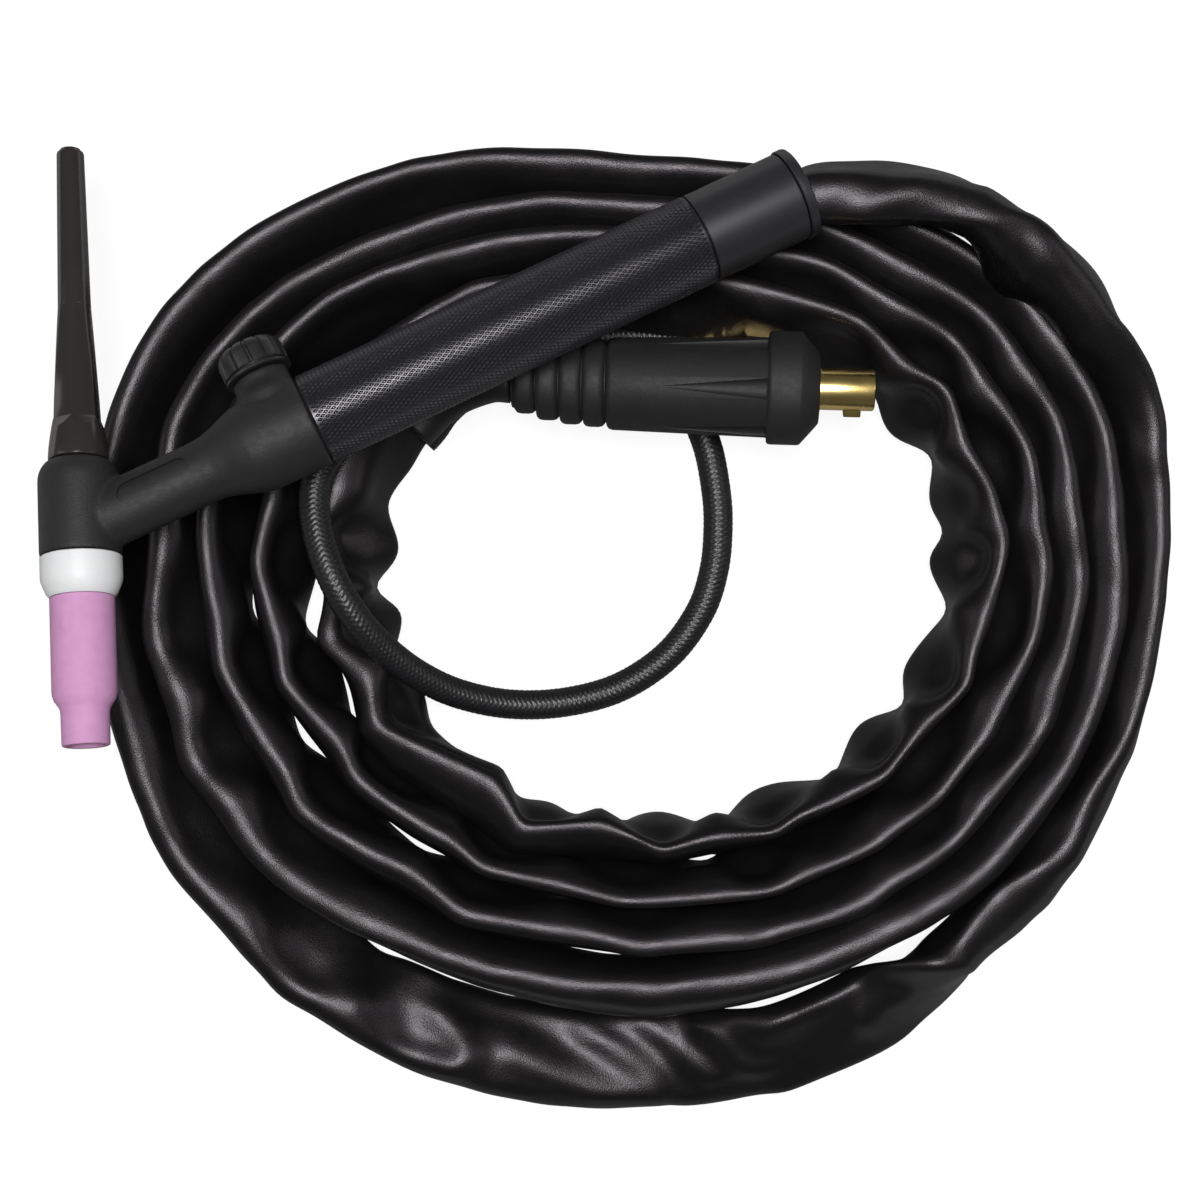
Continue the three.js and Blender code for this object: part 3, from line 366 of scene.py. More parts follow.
def cord_mesh(name, rings, along):
    """A closed mesh through rings of points, with a UV map of metres along and share around."""
    count, sides = rings.shape[:2]
    mesh = bpy.data.meshes.new(name)
    step = np.arange(count - 1)[:, None] * sides
    j = np.arange(sides)[None, :]
    following = (j + 1) % sides
    quads = np.stack([step + j, step + following, step + sides + following, step + sides + j], axis=-1)
    faces = quads.reshape(-1, 4).tolist()
    faces.append(list(range(sides))[::-1])
    faces.append(list(range((count - 1) * sides, count * sides)))
    mesh.from_pydata(rings.reshape(-1, 3).tolist(), [], faces)
    layer = mesh.uv_layers.new(name="lay")
    u0, u1 = np.repeat(along[:-1], sides), np.repeat(along[1:], sides)
    v0 = np.tile(np.arange(sides) / sides, count - 1)
    v1 = v0 + 1 / sides
    corners = np.stack([np.stack(corner, -1) for corner in ((u0, v0), (u0, v1), (u1, v1), (u1, v0))], 1)
    flat = np.zeros((len(mesh.loops), 2))
    flat[:len(corners) * 4] = corners.reshape(-1, 2)
    layer.data.foreach_set("uv", flat.ravel())
    mesh.polygons.foreach_set("use_smooth", [True] * len(mesh.polygons))
    outwards = bmesh.new()
    outwards.from_mesh(mesh)
    bmesh.ops.recalc_face_normals(outwards, faces=outwards.faces)
    outwards.to_mesh(mesh)
    outwards.free()
    made = bpy.data.objects.new(name, mesh)
    bpy.context.scene.collection.objects.link(made)
    return made


class Finish:
    """A surface finish: one shader with what mottles it, roughens it and gives it relief."""

    def __init__(self, name, color, roughness, metallic=0.0, **inputs):
        self.material = bpy.data.materials.new(name)
        self.material.use_nodes = True
        self.nodes = self.material.node_tree.nodes
        self.links = self.material.node_tree.links
        self.shader = self.nodes["Principled BSDF"]
        self.shader.inputs["Base Color"].default_value = (*color, 1)
        self.shader.inputs["Roughness"].default_value = roughness
        self.shader.inputs["Metallic"].default_value = metallic
        for socket, value in inputs.items():
            self.shader.inputs[socket.replace("_", " ")].default_value = value
        self.normal = None

    def node(self, kind, sockets=(), **settings):
        made = self.nodes.new("ShaderNode" + kind)
        for setting, value in settings.items():
            setattr(made, setting, value)
        for socket, value in dict(sockets).items():
            if isinstance(value, bpy.types.NodeSocket):
                self.links.new(value, made.inputs[socket])
            else:
                made.inputs[socket].default_value = value
        return made

    def noise(self, scale, detail=2.0):
        place = self.node("TexCoord").outputs["Object"]
        return self.node("TexNoise", {"Vector": place, "Scale": scale, "Detail": detail}).outputs["Fac"]

    def pebbles(self, scale):
        place = self.node("TexCoord").outputs["Object"]
        return self.node("TexVoronoi", {"Vector": place, "Scale": scale}).outputs["Distance"]

    def ranged(self, value, low, high, start=0.0, end=1.0):
        sockets = {"Value": value, "From Min": low, "From Max": high, "To Min": start, "To Max": end}
        return self.node("MapRange", sockets).outputs["Result"]

    def bump(self, height, depth, strength=1.0):
        sockets = {"Height": height, "Distance": depth, "Strength": strength}
        if self.normal:
            sockets["Normal"] = self.normal
        self.normal = self.node("Bump", sockets).outputs["Normal"]
        self.links.new(self.normal, self.shader.inputs["Normal"])

    def mottle(self, factor, dark, light):
        mix = self.node("Mix", {"Factor": factor}, data_type="RGBA")
        mix.inputs["A"].default_value = (*dark, 1)
        mix.inputs["B"].default_value = (*light, 1)
        self.links.new(mix.outputs["Result"], self.shader.inputs["Base Color"])

    def vary_roughness(self, factor, low, high):
        self.links.new(self.ranged(factor, 0.3, 0.7, low, high), self.shader.inputs["Roughness"])


def dress(made, finish):
    """Gives a piece one finish all over."""
    made.data.materials.clear()
    made.data.materials.append(finish.material)


leather = Finish("sleeve_leather", (0.005, 0.0046, 0.005), 0.37, Specular_IOR_Level=0.36,
                 Specular_Tint=(1, 0.93, 0.98, 1))
leather.mottle(leather.noise(60), (0.0038, 0.0035, 0.0038), (0.0068, 0.0062, 0.0067))
leather.vary_roughness(leather.noise(220), 0.33, 0.4)
leather.bump(leather.pebbles(1900), 0.00008, 0.5)
leather.bump(leather.noise(420, 3), 0.00006, 0.4)

sleeve_points = fold_in(*sleeve_rings()) * MM + np.array(coil_middle)
sleeve = cord_mesh("cable_sleeve", sleeve_points, along_sleeve * MM)
dress(sleeve, leather)
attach(sleeve, "root")
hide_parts("sleeve_lead", "sleeve_coil")

# ---------------------------------------------------------------- gas hose
# A rubber hose under a tight black braid. It leaves the sleeve's open end low down, makes one loop
# inside the coil, climbs over the sleeve's end and dives under the plug to its crimped brass end.

hose_radius = 4.7 * MM
hose_route = [
    (-72.5, 51.7, 5), (-69.2, 55.4, 5), (-64.5, 61.8, 5), (-56.5, 68, 5), (-44.3, 71.9, 5), (-28, 73.5, 5),
    (-11.7, 72.9, 5), (2.9, 69, 5), (14.3, 61.2, 5), (19.8, 50.4, 5), (22.7, 35.8, 5), (23.4, 23.7, 5),
    (22.1, 9.8, 5), (17.5, -3.9, 5), (7.1, -17.9, 5), (-8.5, -28.3, 5), (-26.4, -33.2, 5.5),
    (-44.1, -33.7, 8), (-59.9, -30.2, 13.5), (-72.1, -24.1, 20.5), (-82.3, -15.7, 28), (-90.6, -5.6, 34.5),
    (-97.2, 6.2, 36.8), (-101.9, 19.2, 35.5), (-103.6, 31, 34), (-101.8, 40.3, 33.5), (-95.4, 49.6, 33.5),
    (-86.4, 59.6, 33), (-76.6, 67.8, 31.5), (-65.1, 76.6, 28.5), (-53, 82.4, 21.5), (-40.6, 84.6, 15),
    (-27.9, 84.8, 10.3), (-15, 85.2, 8.4), (-0.4, 85, 7.4), (9.3, 83.4, 7.2), (13.9, 82.35, 7.2),
]
braid_strands = 20
braid_pitch = 17 * MM
strand_height = 0.42
strands_sunk = 0.3


def cord_line(route, step):
    """Points at even distances on a smooth line through a route, and how far along they are."""
    points = smooth_between(route, np.linspace(0, len(route) - 1, 40 * len(route)))
    return evenly_spaced(points, step)


def tube_rings(points, radius, sides, relief=None, along=None):
    """Rings round a line, carried along it without twist; relief adds height by place."""
    ahead = np.gradient(points, axis=0)
    ahead /= np.linalg.norm(ahead, axis=1)[:, None]
    side = np.cross(ahead[0], [0, 0, 1.0])
    rings = []
    turn = 2 * math.pi * np.arange(sides) / sides
    for i, (point, forward) in enumerate(zip(points, ahead)):
        side = side - forward * side.dot(forward)
        side /= np.linalg.norm(side)
        other = np.cross(forward, side)
        reach = radius + (relief(along[i], turn) if relief else 0)
        rings.append(point + np.outer(np.cos(turn) * reach, side) + np.outer(np.sin(turn) * reach, other))
    return np.array(rings)


hose_line, hose_along = cord_line(hose_route, 0.36)


def braid_relief(along, turn):
    """Height in millimetres of two families of strands that cross over and under."""
    climb = 2 * math.pi * along * MM / braid_pitch
    one = braid_strands / 2 * (turn + climb)
    other = braid_strands / 2 * (turn - climb)
    over = np.cos((one + other) / 2) * np.cos((one - other) / 2)
    first = np.abs(np.cos(one / 2)) * (0.5 + 0.5 * np.sign(over))
    second = np.abs(np.cos(other / 2)) * (0.5 - 0.5 * np.sign(over))
    return strand_height * (first + second) - strands_sunk


hose_rings = tube_rings(hose_line, hose_radius / MM, 56, braid_relief, hose_along)
hose = cord_mesh("gas_hose_braid", hose_rings * MM + np.array(coil_middle), hose_along * MM)
braid = Finish("hose_braid", (0.008, 0.008, 0.009), 0.4)
braid.mottle(braid.noise(900), (0.005, 0.005, 0.0055), (0.014, 0.014, 0.016))
braid.bump(braid.noise(2600, 3), 0.00008, 0.5)
dress(hose, braid)
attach(hose, "root")
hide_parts("gas_hose")

# ---------------------------------------------------------------- power cable
# A copper cable in a smooth rubber jacket. It comes out of the sleeve above the hose and runs
# straight into the plug.

cable_radius = 7 * MM
cable_route = [
    (-74.2, 53.6, 19), (-71, 57.2, 19), (-66.6, 61.5, 19.9), (-59.5, 66, 21.6), (-49.5, 69.2, 23.5),
    (-42.8, 69, 24),
]
cable_line, cable_along = cord_line(cable_route, 1.5)
cable_rings = tube_rings(cable_line, cable_radius / MM, 40)
cable = cord_mesh("power_cable_jacket", cable_rings * MM + np.array(coil_middle), cable_along * MM)
jacket = Finish("cable_jacket", (0.009, 0.009, 0.0095), 0.5)
jacket.mottle(jacket.noise(180), (0.007, 0.007, 0.0075), (0.012, 0.012, 0.0125))
jacket.bump(jacket.noise(1400, 3), 0.00006, 0.5)
dress(cable, jacket)
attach(cable, "root")
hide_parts("power_cable")

# ---------------------------------------------------------------- torch body
# Head, neck and valve housing are one moulding of black rubber over the brass and copper inside.
# Its skin is matte and finely grained; a bare sunk field lies along the neck.

head_angle = 68
valve_distance = 66.6
neck_radius = 9.45


def rotation(degrees, axis):
    return Matrix.Rotation(math.radians(degrees), 4, axis)


def shift(x, y, z):
    """A move by so many millimetres."""
    return Matrix.Translation(Vector((x, y, z)) * MM)


from_coil_middle = Matrix.Translation(coil_middle)
torch_place = from_coil_middle @ shift(-167.6, 20.6, 65) @ rotation(25.92, "Z") @ rotation(5.16, "Y")
torch_place = torch_place @ rotation(-9.4, "X")
# These turn a piece that stands along +Z to where it belongs on the torch, whose handle is along +X
to_handle = rotation(90, "Y")
sideways = rotation(-90, "X")
to_head = rotation(head_angle - 90, "Z") @ sideways
to_valve = shift(valve_distance, 0, 0) @ sideways

head_outline = [(-7.9, 11.9), (14.7, 11.9), (16.6, 11.65), (18.4, 10.9), (19.9, 9.8), (20.8, 8.5)]
neck_outline = [
    (0, neck_radius), (39, neck_radius), (43, 9.8), (47, 10.9), (51, 12.5), (54.5, 13.6), (58, 14), (75, 14),
    (75, 12.2), (87, 12.2),
]
boss_outline = [(0, 11.4), (12, 11.4), (13.2, 10.4), (14.6, 9.3), (16.4, 8.8), (19, 8.8)]


def turned(name, outline, sides=96):
    """A turned piece standing along +Z, through stations of height and radius in millimetres."""
    start, radius = outline[0]
    bpy.context.tool_settings.mesh_select_mode = (True, False, False)
    bpy.ops.object.select_all(action="DESELECT")
    bpy.ops.mesh.primitive_circle_add(vertices=sides, radius=radius * MM)
    made = bpy.context.object
    made.name = made.data.name = name
    bpy.ops.object.mode_set(mode="EDIT")
    bpy.ops.mesh.select_all(action="SELECT")
    bpy.ops.transform.translate(value=(0, 0, start * MM))
    for (from_height, from_radius), (height, radius) in zip(outline, outline[1:]):
        climb = (height - from_height) * MM
        share = radius / from_radius
        bpy.ops.mesh.extrude_region_move(TRANSFORM_OT_translate={"value": (0, 0, climb)})
        bpy.ops.transform.resize(value=(share, share, 1), center_override=(0, 0, height * MM))
    bpy.ops.mesh.select_all(action="SELECT")
    bpy.ops.mesh.remove_doubles(threshold=0.001 * MM)
    bpy.ops.mesh.fill_holes(sides=0)
    bpy.ops.mesh.normals_make_consistent(inside=False)
    bpy.ops.object.mode_set(mode="OBJECT")
    return made


def take(made):
    """Makes a piece the only selected one and the active one."""
    bpy.ops.object.select_all(action="DESELECT")
    made.select_set(True)
    bpy.context.view_layer.objects.active = made


def shaped_by(made, kind, **settings):
    """Adds one modifier, sets it and applies it."""
    take(made)
    bpy.ops.object.modifier_add(type=kind)
    modifier = made.modifiers[-1]
    for setting, value in settings.items():
        setattr(modifier, setting, value)
    bpy.ops.object.modifier_apply(modifier=modifier.name)


def joined_with(made, other, operation):
    """Unites a piece with another, or cuts it by the other, which is used up."""
    shaped_by(made, "BOOLEAN", object=other, operation=operation, solver="EXACT")
    bpy.data.objects.remove(other)


def finished(made, place, material, body="root", smooth=35):
    """Puts a piece in its place, shades it and dresses it."""
    made.data.transform(place)
    take(made)
    bpy.ops.object.shade_smooth_by_angle(angle=math.radians(smooth))
    dress(made, material)
    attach(made, body)


def moved(made, matrix):
    """The piece, with its mesh moved or turned in place."""
    made.data.transform(matrix)
    return made


moulding = moved(turned("torch_moulding", neck_outline), to_handle)
boss = moved(turned("boss", boss_outline), to_valve)
spigot_room = turned("spigot_room", [(75, 12.2), (75, 30), (88, 30), (88, 12.2), (75, 12.2)])
joined_with(boss, moved(spigot_room, to_handle), "DIFFERENCE")
joined_with(moulding, boss, "UNION")
joined_with(moulding, moved(turned("head", head_outline), to_head), "UNION")
shaped_by(moulding, "REMESH", mode="VOXEL", voxel_size=0.55 * MM)
shaped_by(moulding, "SMOOTH", factor=0.5, iterations=9)
for bore, turn_to in [
    (turned("head_bore", [(-10, 7.7), (23, 7.7)]), to_head),
    (turned("neck_bore", [(0, 4.3), (58, 4.3)], 32), to_handle),
    (turned("block_room", [(57.7, 10.3), (89, 10.3)]), to_handle),
    (turned("valve_bore", [(0, 6.5), (21, 6.5)]), to_valve),
]:
    joined_with(moulding, moved(bore, turn_to), "DIFFERENCE")

# A slot cutter less the neck's own round leaves a sunk field that follows the neck
field_length, field_width, field_depth = 22.4, 7.2, 0.8
field_middle, field_turn = 26, -8
cutter_height, cutter_depth = 9.5, 4


def select_only(made, kind, test):
    """Selects the vertices, edges or faces that pass a test, and leaves the mesh in edit mode."""
    bpy.context.tool_settings.mesh_select_mode = [kind == each for each in ("VERT", "EDGE", "FACE")]
    bpy.ops.object.mode_set(mode="EDIT")
    bpy.ops.mesh.select_all(action="DESELECT")
    bpy.ops.object.mode_set(mode="OBJECT")
    mesh = made.data
    for part in {"VERT": mesh.vertices, "EDGE": mesh.edges, "FACE": mesh.polygons}[kind]:
        part.select = test(part)
    bpy.ops.object.mode_set(mode="EDIT")


bpy.ops.object.select_all(action="DESELECT")
bpy.ops.mesh.primitive_cylinder_add(vertices=64, radius=field_width / 2 * MM, depth=cutter_depth * MM,
                                    location=(0, 0, cutter_height * MM))
field = bpy.context.object
bpy.ops.object.transform_apply(location=True)
select_only(field, "VERT", lambda vertex: vertex.co.x > 0.01 * MM)
field_run = field_length - field_width
bpy.ops.transform.translate(value=(field_run * MM, 0, 0))
bpy.ops.object.mode_set(mode="OBJECT")
moved(field, shift(field_middle - field_run / 2, 0, 0))
under = turned("under", [(0, neck_radius - field_depth), (60, neck_radius - field_depth)])
joined_with(field, moved(under, to_handle), "DIFFERENCE")
joined_with(moulding, moved(field, rotation(field_turn, "X")), "DIFFERENCE")

body_rubber = Finish("body_rubber", (0.0145, 0.0137, 0.014), 0.58, Specular_IOR_Level=0.34)
body_rubber.mottle(body_rubber.noise(160, 4), (0.0115, 0.0108, 0.011), (0.018, 0.017, 0.0175))
body_rubber.vary_roughness(body_rubber.noise(500), 0.54, 0.63)
body_rubber.bump(body_rubber.noise(2000, 3), 0.00018, 0.5)
finished(moulding, torch_place, body_rubber, smooth=32)
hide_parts("torch_body")

# ---------------------------------------------------------------- brass core and neck tube
# The brass core takes the collet body and the back cap; a copper tube brazed into it carries
# current and gas up the neck to the brass valve block.

brass = Finish("turned_brass", (0.83, 0.62, 0.27), 0.22, 1.0)
brass.mottle(brass.noise(90, 3), (0.77, 0.56, 0.23), (0.86, 0.66, 0.31))
brass.vary_roughness(brass.noise(300, 2), 0.2, 0.25)
brass.bump(brass.noise(2400, 2), 0.00001, 0.2)
copper = Finish("drawn_copper", (0.75, 0.4, 0.26), 0.3, 1.0)
copper.mottle(copper.noise(120, 3), (0.62, 0.32, 0.21), (0.8, 0.45, 0.3))
copper.bump(copper.noise(2400), 0.00003, 0.3)


def dress_nodes(finish, *names):
    """Gives one finish to pieces that are shown as they are in the frame."""
    for name in names:
        dress(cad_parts[name], finish)


dress_nodes(brass, "head_core", "valve_block")
dress_nodes(copper, "neck_tube")

# ---------------------------------------------------------------- gas valve
# A turned brass stem screws in and out of a brass gland, sealed by a small rubber ring. A moulded
# plastic knob with shallow grooves is pressed on its end.

dress_nodes(brass, "valve_gland", "valve_stem")
seal_rubber = Finish("seal_rubber", (0.015, 0.015, 0.015), 0.5)
seal_rubber.mottle(seal_rubber.noise(400), (0.012, 0.012, 0.012), (0.022, 0.022, 0.022))
dress_nodes(seal_rubber, "valve_oring")

knob_ribs = 14
columns_per_rib = 12
groove_columns = (5, 6, 7)
knob_radius = 10.2
knob_groove = 0.9
knob_columns = columns_per_rib * knob_ribs
knob = turned("valve_knob_grip", [
    (21, 2.3), (19.3, 2.3), (19.3, 9.9), (19.6, 10.3), (20.2, 10.3), (20.5, 10.0), (20.5, 9.3), (21.1, 9.3),
    (21.1, 10.0), (21.4, knob_radius), (25.8, knob_radius), (27.2, 9.9), (28.2, 9.3), (28.9, 8.5),
    (29.0, 7.9), (29.0, 2.6), (27.3, 2.3), (21, 2.3),
], knob_columns)


def in_a_groove(vertex):
    """Whether it is on the grip's outside, above the snap ring, and in a sunk column."""
    x, y, height = vertex.co
    column = round(math.atan2(y, x) / (2 * math.pi) * knob_columns) % columns_per_rib
    return math.hypot(x, y) > 8 * MM and height > 21.2 * MM and column in groove_columns


select_only(knob, "VERT", in_a_groove)
groove_share = 1 - knob_groove / knob_radius
bpy.ops.transform.resize(value=(groove_share, groove_share, 1), center_override=(0, 0, 0))
bpy.ops.object.mode_set(mode="OBJECT")
knob_plastic = Finish("knob_plastic", (0.016, 0.016, 0.017), 0.36)
knob_plastic.mottle(knob_plastic.noise(200), (0.013, 0.013, 0.014), (0.02, 0.02, 0.0215))
knob_plastic.bump(knob_plastic.noise(1500, 3), 0.00008, 0.5)
finished(knob, torch_place @ to_valve, knob_plastic, "valve", 28)
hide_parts("valve_knob")

# ---------------------------------------------------------------- knurled handle
# A tube of black anodised aluminium, turned, then rolled all over with a fine knurl of sunk
# diamonds. It screws onto the valve block and covers the joints of cable and hose.

handle_start = 75.3
handle_length = 128.7
handle_radius = 13.9
knurl_around = 62
knurl_along = 50
ridge_width = 0.24
flank_width = 0.36
knurl_depth = 0.4
plain_end = 0.5
handle_bore = 12.5

bpy.ops.object.select_all(action="DESELECT")
bpy.ops.mesh.primitive_cylinder_add(vertices=knurl_around, radius=handle_radius * MM,
                                    depth=(handle_length - 2 * plain_end) * MM, end_fill_type="NOTHING")
handle = bpy.context.object
handle.name = handle.data.name = "knurled_handle"


def end_heights(edge):
    """Heights of an edge's two ends, the lower first."""
    return sorted(handle.data.vertices[number].co.z for number in edge.vertices)


select_only(handle, "EDGE", lambda edge: end_heights(edge)[1] - end_heights(edge)[0] > MM)
bpy.ops.mesh.subdivide(number_cuts=knurl_along - 1)
bpy.ops.object.mode_set(mode="OBJECT")
corners = len(handle.data.vertices)
bpy.ops.object.mode_set(mode="EDIT")
bpy.ops.mesh.select_all(action="SELECT")
bpy.ops.mesh.poke()
bpy.ops.object.mode_set(mode="OBJECT")
for vertex in handle.data.vertices[corners:]:
    share = handle_radius * MM / math.hypot(vertex.co.x, vertex.co.y)
    vertex.co.x *= share
    vertex.co.y *= share
rim = (handle_length / 2 - plain_end - 0.001) * MM


def inside_a_diamond(edge):
    """Whether it is an edge of the first grid, which splits a diamond, and not on the rim."""
    return max(edge.vertices) < corners and min(abs(height) for height in end_heights(edge)) < rim


select_only(handle, "EDGE", inside_a_diamond)
bpy.ops.mesh.dissolve_edges(use_verts=False)
select_only(handle, "FACE", lambda face: len(face.vertices) == 4)
bpy.ops.mesh.inset(thickness=ridge_width / 2 * MM, depth=0, use_individual=True)
bpy.ops.mesh.inset(thickness=flank_width * MM, depth=-knurl_depth * MM, use_individual=True)
bpy.ops.object.mode_set(mode="OBJECT")
moved(handle, shift(0, 0, handle_start + handle_length / 2))

# Plain turned ends close the tube over its bore
handle_end = handle_start + handle_length
liner = turned("liner", [
    (handle_start + plain_end, handle_radius), (handle_start, handle_radius - plain_end),
    (handle_start, handle_bore), (handle_end, handle_bore), (handle_end, handle_radius - plain_end),
    (handle_end - plain_end, handle_radius),
], knurl_around)
select_only(liner, "FACE", lambda face: len(face.vertices) > 4)
bpy.ops.mesh.delete(type="ONLY_FACE")
bpy.ops.object.mode_set(mode="OBJECT")
take(handle)
liner.select_set(True)
bpy.ops.object.join()
bpy.ops.object.mode_set(mode="EDIT")
bpy.ops.mesh.select_all(action="SELECT")
bpy.ops.mesh.remove_doubles(threshold=0.02 * MM)
bpy.ops.mesh.normals_make_consistent(inside=False)
bpy.ops.object.mode_set(mode="OBJECT")

anodised = Finish("black_anodised", (0.04, 0.038, 0.042), 0.32, 0.7)
anodised.mottle(anodised.noise(120, 3), (0.034, 0.032, 0.036), (0.046, 0.044, 0.049))
anodised.vary_roughness(anodised.noise(900, 2), 0.27, 0.36)
along_handle = torch_place @ to_handle
finished(handle, along_handle, anodised, smooth=12)
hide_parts("handle_tube")

# ---------------------------------------------------------------- collar and end ring
# Plain turned rings of black anodised aluminium, pushed one into the other at the rear of the
# handle. The sleeve's end is gathered and tucked into them.

satin_black = Finish("satin_anodised", (0.027, 0.0255, 0.028), 0.4, 0.35)
satin_black.mottle(satin_black.noise(120, 3), (0.023, 0.0215, 0.024), (0.031, 0.0295, 0.033))
satin_black.bump(satin_black.noise(2600, 3), 0.00005, 0.5)
collar = turned("handle_collar_sleeve", [
    (196, 10.9), (196, 12.2), (204.3, 12.2), (204.3, 13.5), (204.55, 13.75), (234.7, 13.75), (235, 13.45),
    (235, 12.3), (226.7, 12.3), (226.7, 10.9), (196, 10.9),
])
finished(collar, along_handle, satin_black)
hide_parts("handle_collar")
end_ring = turned("handle_rear_ring", [
    (229, 10.9), (229, 12), (235.3, 12), (235.3, 14.0), (235.6, 14.25), (237.6, 14.25), (238.2, 14.05),
    (238.5, 13.6), (238.5, 11.3), (238.2, 10.9), (229, 10.9),
])
finished(end_ring, along_handle, satin_black)
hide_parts("handle_end_ring")

# ---------------------------------------------------------------- cable and hose inside the handle
# The rubber power cable is crimped on a turned brass adapter, and the rubber gas hose is pushed on
# a brass barb. Both screw into the valve block.

dress_nodes(brass, "cable_adapter", "hose_barb")
dress_nodes(jacket, "handle_cable", "handle_hose")

# ---------------------------------------------------------------- back cap
# A long glossy moulded cap over the end of the electrode, with six flats to grip. It screws into the
# rear of the head against a seal ring.

cap_flats = 6


def rounded(made, radius, angle):
    """Rounds the edges that are sharper than an angle."""
    shaped_by(made, "BEVEL", width=radius * MM, segments=2, limit_method="ANGLE",
              angle_limit=math.radians(angle), use_clamp_overlap=True, harden_normals=False)


def to_corners(across_flats):
    """Radius of a hexagon's corners from its width across flats."""
    return across_flats / 2 / math.cos(math.pi / 6)


cap = turned("back_cap_long", [
    (9.1, 5), (21.1, 5), (21.1, 8.5), (21.4, 8.75), (22, 8.75), (25, 8.5), (28.5, 8), (32, 7.4), (34.5, 7.15),
    (68.5, 4.85), (117.4, 4.07), (118.0, 3.9), (118.2, 3.3), (119, 3.1), (119, 0.4),
])
flat_cutter = turned("cap_flats", [
    (0, 12), (25.1, 12), (33.5, to_corners(12.3)), (68.5, to_corners(9.5)), (88.5, 12), (120, 12),
], cap_flats)
joined_with(cap, flat_cutter, "INTERSECT")
joined_with(cap, turned("cap_bore", [(8, 1.6), (110, 1.6)], 24), "DIFFERENCE")
rounded(cap, 0.18, 14)
gloss_plastic = Finish("gloss_plastic", (0.026, 0.0235, 0.021), 0.2)
gloss_plastic.mottle(gloss_plastic.noise(60), (0.023, 0.0205, 0.0185), (0.029, 0.0265, 0.024))
gloss_plastic.bump(gloss_plastic.noise(350, 2), 0.00012, 0.25)
along_cap = torch_place @ to_head
finished(cap, along_cap, gloss_plastic, "cap", 20)
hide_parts("back_cap")
dress_nodes(seal_rubber, "back_cap_oring")

# ---------------------------------------------------------------- collet body and collet
# The turned brass collet body screws into the core and spreads the gas through its cross holes. The
# slit copper collet slides in it, and the back cap presses it home to grip the electrode.

dress_nodes(brass, "collet_body")
dress_nodes(copper, "collet")

# ---------------------------------------------------------------- cup gasket
# A turned ring of white plastic, slipped over the collet body. It insulates the front of the head and
# centres the cup.

gasket = turned("cup_insulator", [
    (12.4, 6.4), (8.2, 6.4), (8.2, 11.5), (8.5, 11.8), (14.6, 11.8), (15.6, 11.65), (17.4, 11.0),
    (19.2, 10.2), (20.1, 9.5), (20.3, 9.3), (20.1, 8.3), (12.4, 8.3), (12.4, 6.4),
], 128)
white_plastic = Finish("white_plastic", (0.75, 0.735, 0.735), 0.45, Subsurface_Weight=0.08)
white_plastic.mottle(white_plastic.noise(90, 3), (0.73, 0.715, 0.715), (0.77, 0.755, 0.755))
white_plastic.bump(white_plastic.noise(900, 3), 0.00006, 0.5)
along_cup = along_cap @ rotation(180, "X")
finished(gasket, along_cup, white_plastic, "gasket", 40)
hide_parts("cup_gasket")

# ---------------------------------------------------------------- ceramic cup
# A pressed and fired alumina nozzle, matte pink, with a step down to its mouth. Its thread screws on
# the collet body against the gasket.

cup = turned("gas_cup", [
    (16.9, 6.4), (16.9, 8), (20.4, 8), (20.4, 9.1), (20.6, 9.3), (47.8, 9.3), (49.2, 9.15), (50.6, 8.7),
    (52.2, 7.6), (53.2, 7.1), (54.4, 6.95), (63.3, 6.85), (63.75, 6.65), (63.9, 6.3), (63.9, 5.1),
    (63.7, 4.85), (63.2, 4.75), (53.7, 4.75), (46.2, 6.6), (24, 6.6), (24, 6.4), (16.9, 6.4),
], 128)
pink_ceramic = Finish("pink_ceramic", (0.56, 0.27, 0.49), 0.72)
pink_ceramic.mottle(pink_ceramic.noise(300, 5), (0.51, 0.24, 0.445), (0.61, 0.31, 0.54))
pink_ceramic.bump(pink_ceramic.noise(2200, 4), 0.00012, 0.6)
finished(cup, along_cup, pink_ceramic, "cup", 40)
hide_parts("ceramic_cup")

# ---------------------------------------------------------------- plug body
# The power plug's moulded rubber grip: four soft rings as strain relief, a long grip with wedge
# shaped finger recesses, and a thick flange that seals on the socket.

plug_back = Vector((-42.4, 69, 24)) * MM + coil_middle
plug_axis = Vector((53.6, 65.8, 30.5)) * MM + coil_middle - plug_back
plug_length = plug_axis.length / MM
plug_place = (
    Matrix.Translation(plug_back)
    @ Matrix.Rotation(math.atan2(plug_axis.y, plug_axis.x), 4, "Z")
    @ Matrix.Rotation(-math.asin(plug_axis.z / plug_axis.length), 4, "Y")
)
along_plug = plug_place @ rotation(90, "Y")
cable_bore = 7.3
pin_bore = 7.8
grip_end = 80
ring_depth = 1.5
plug_outline = [(0, cable_bore), (0, 8.2), (0.8, 8.6)]
start = 0.8
for length, radius in [(7, 10.1), (7.4, 12), (7.3, 13.1), (7.3, 13.7)]:
    plug_outline += [
        (start + 0.25, radius - 0.9), (start + 0.9, radius - 0.25), (start + 2.0, radius),
        (start + length - 2.4, radius), (start + length - 1.3, radius - 0.25),
        (start + length - 0.6, radius - 0.9), (start + length - 0.25, radius - ring_depth),
        (start + length, radius - ring_depth),
    ]
    start += length
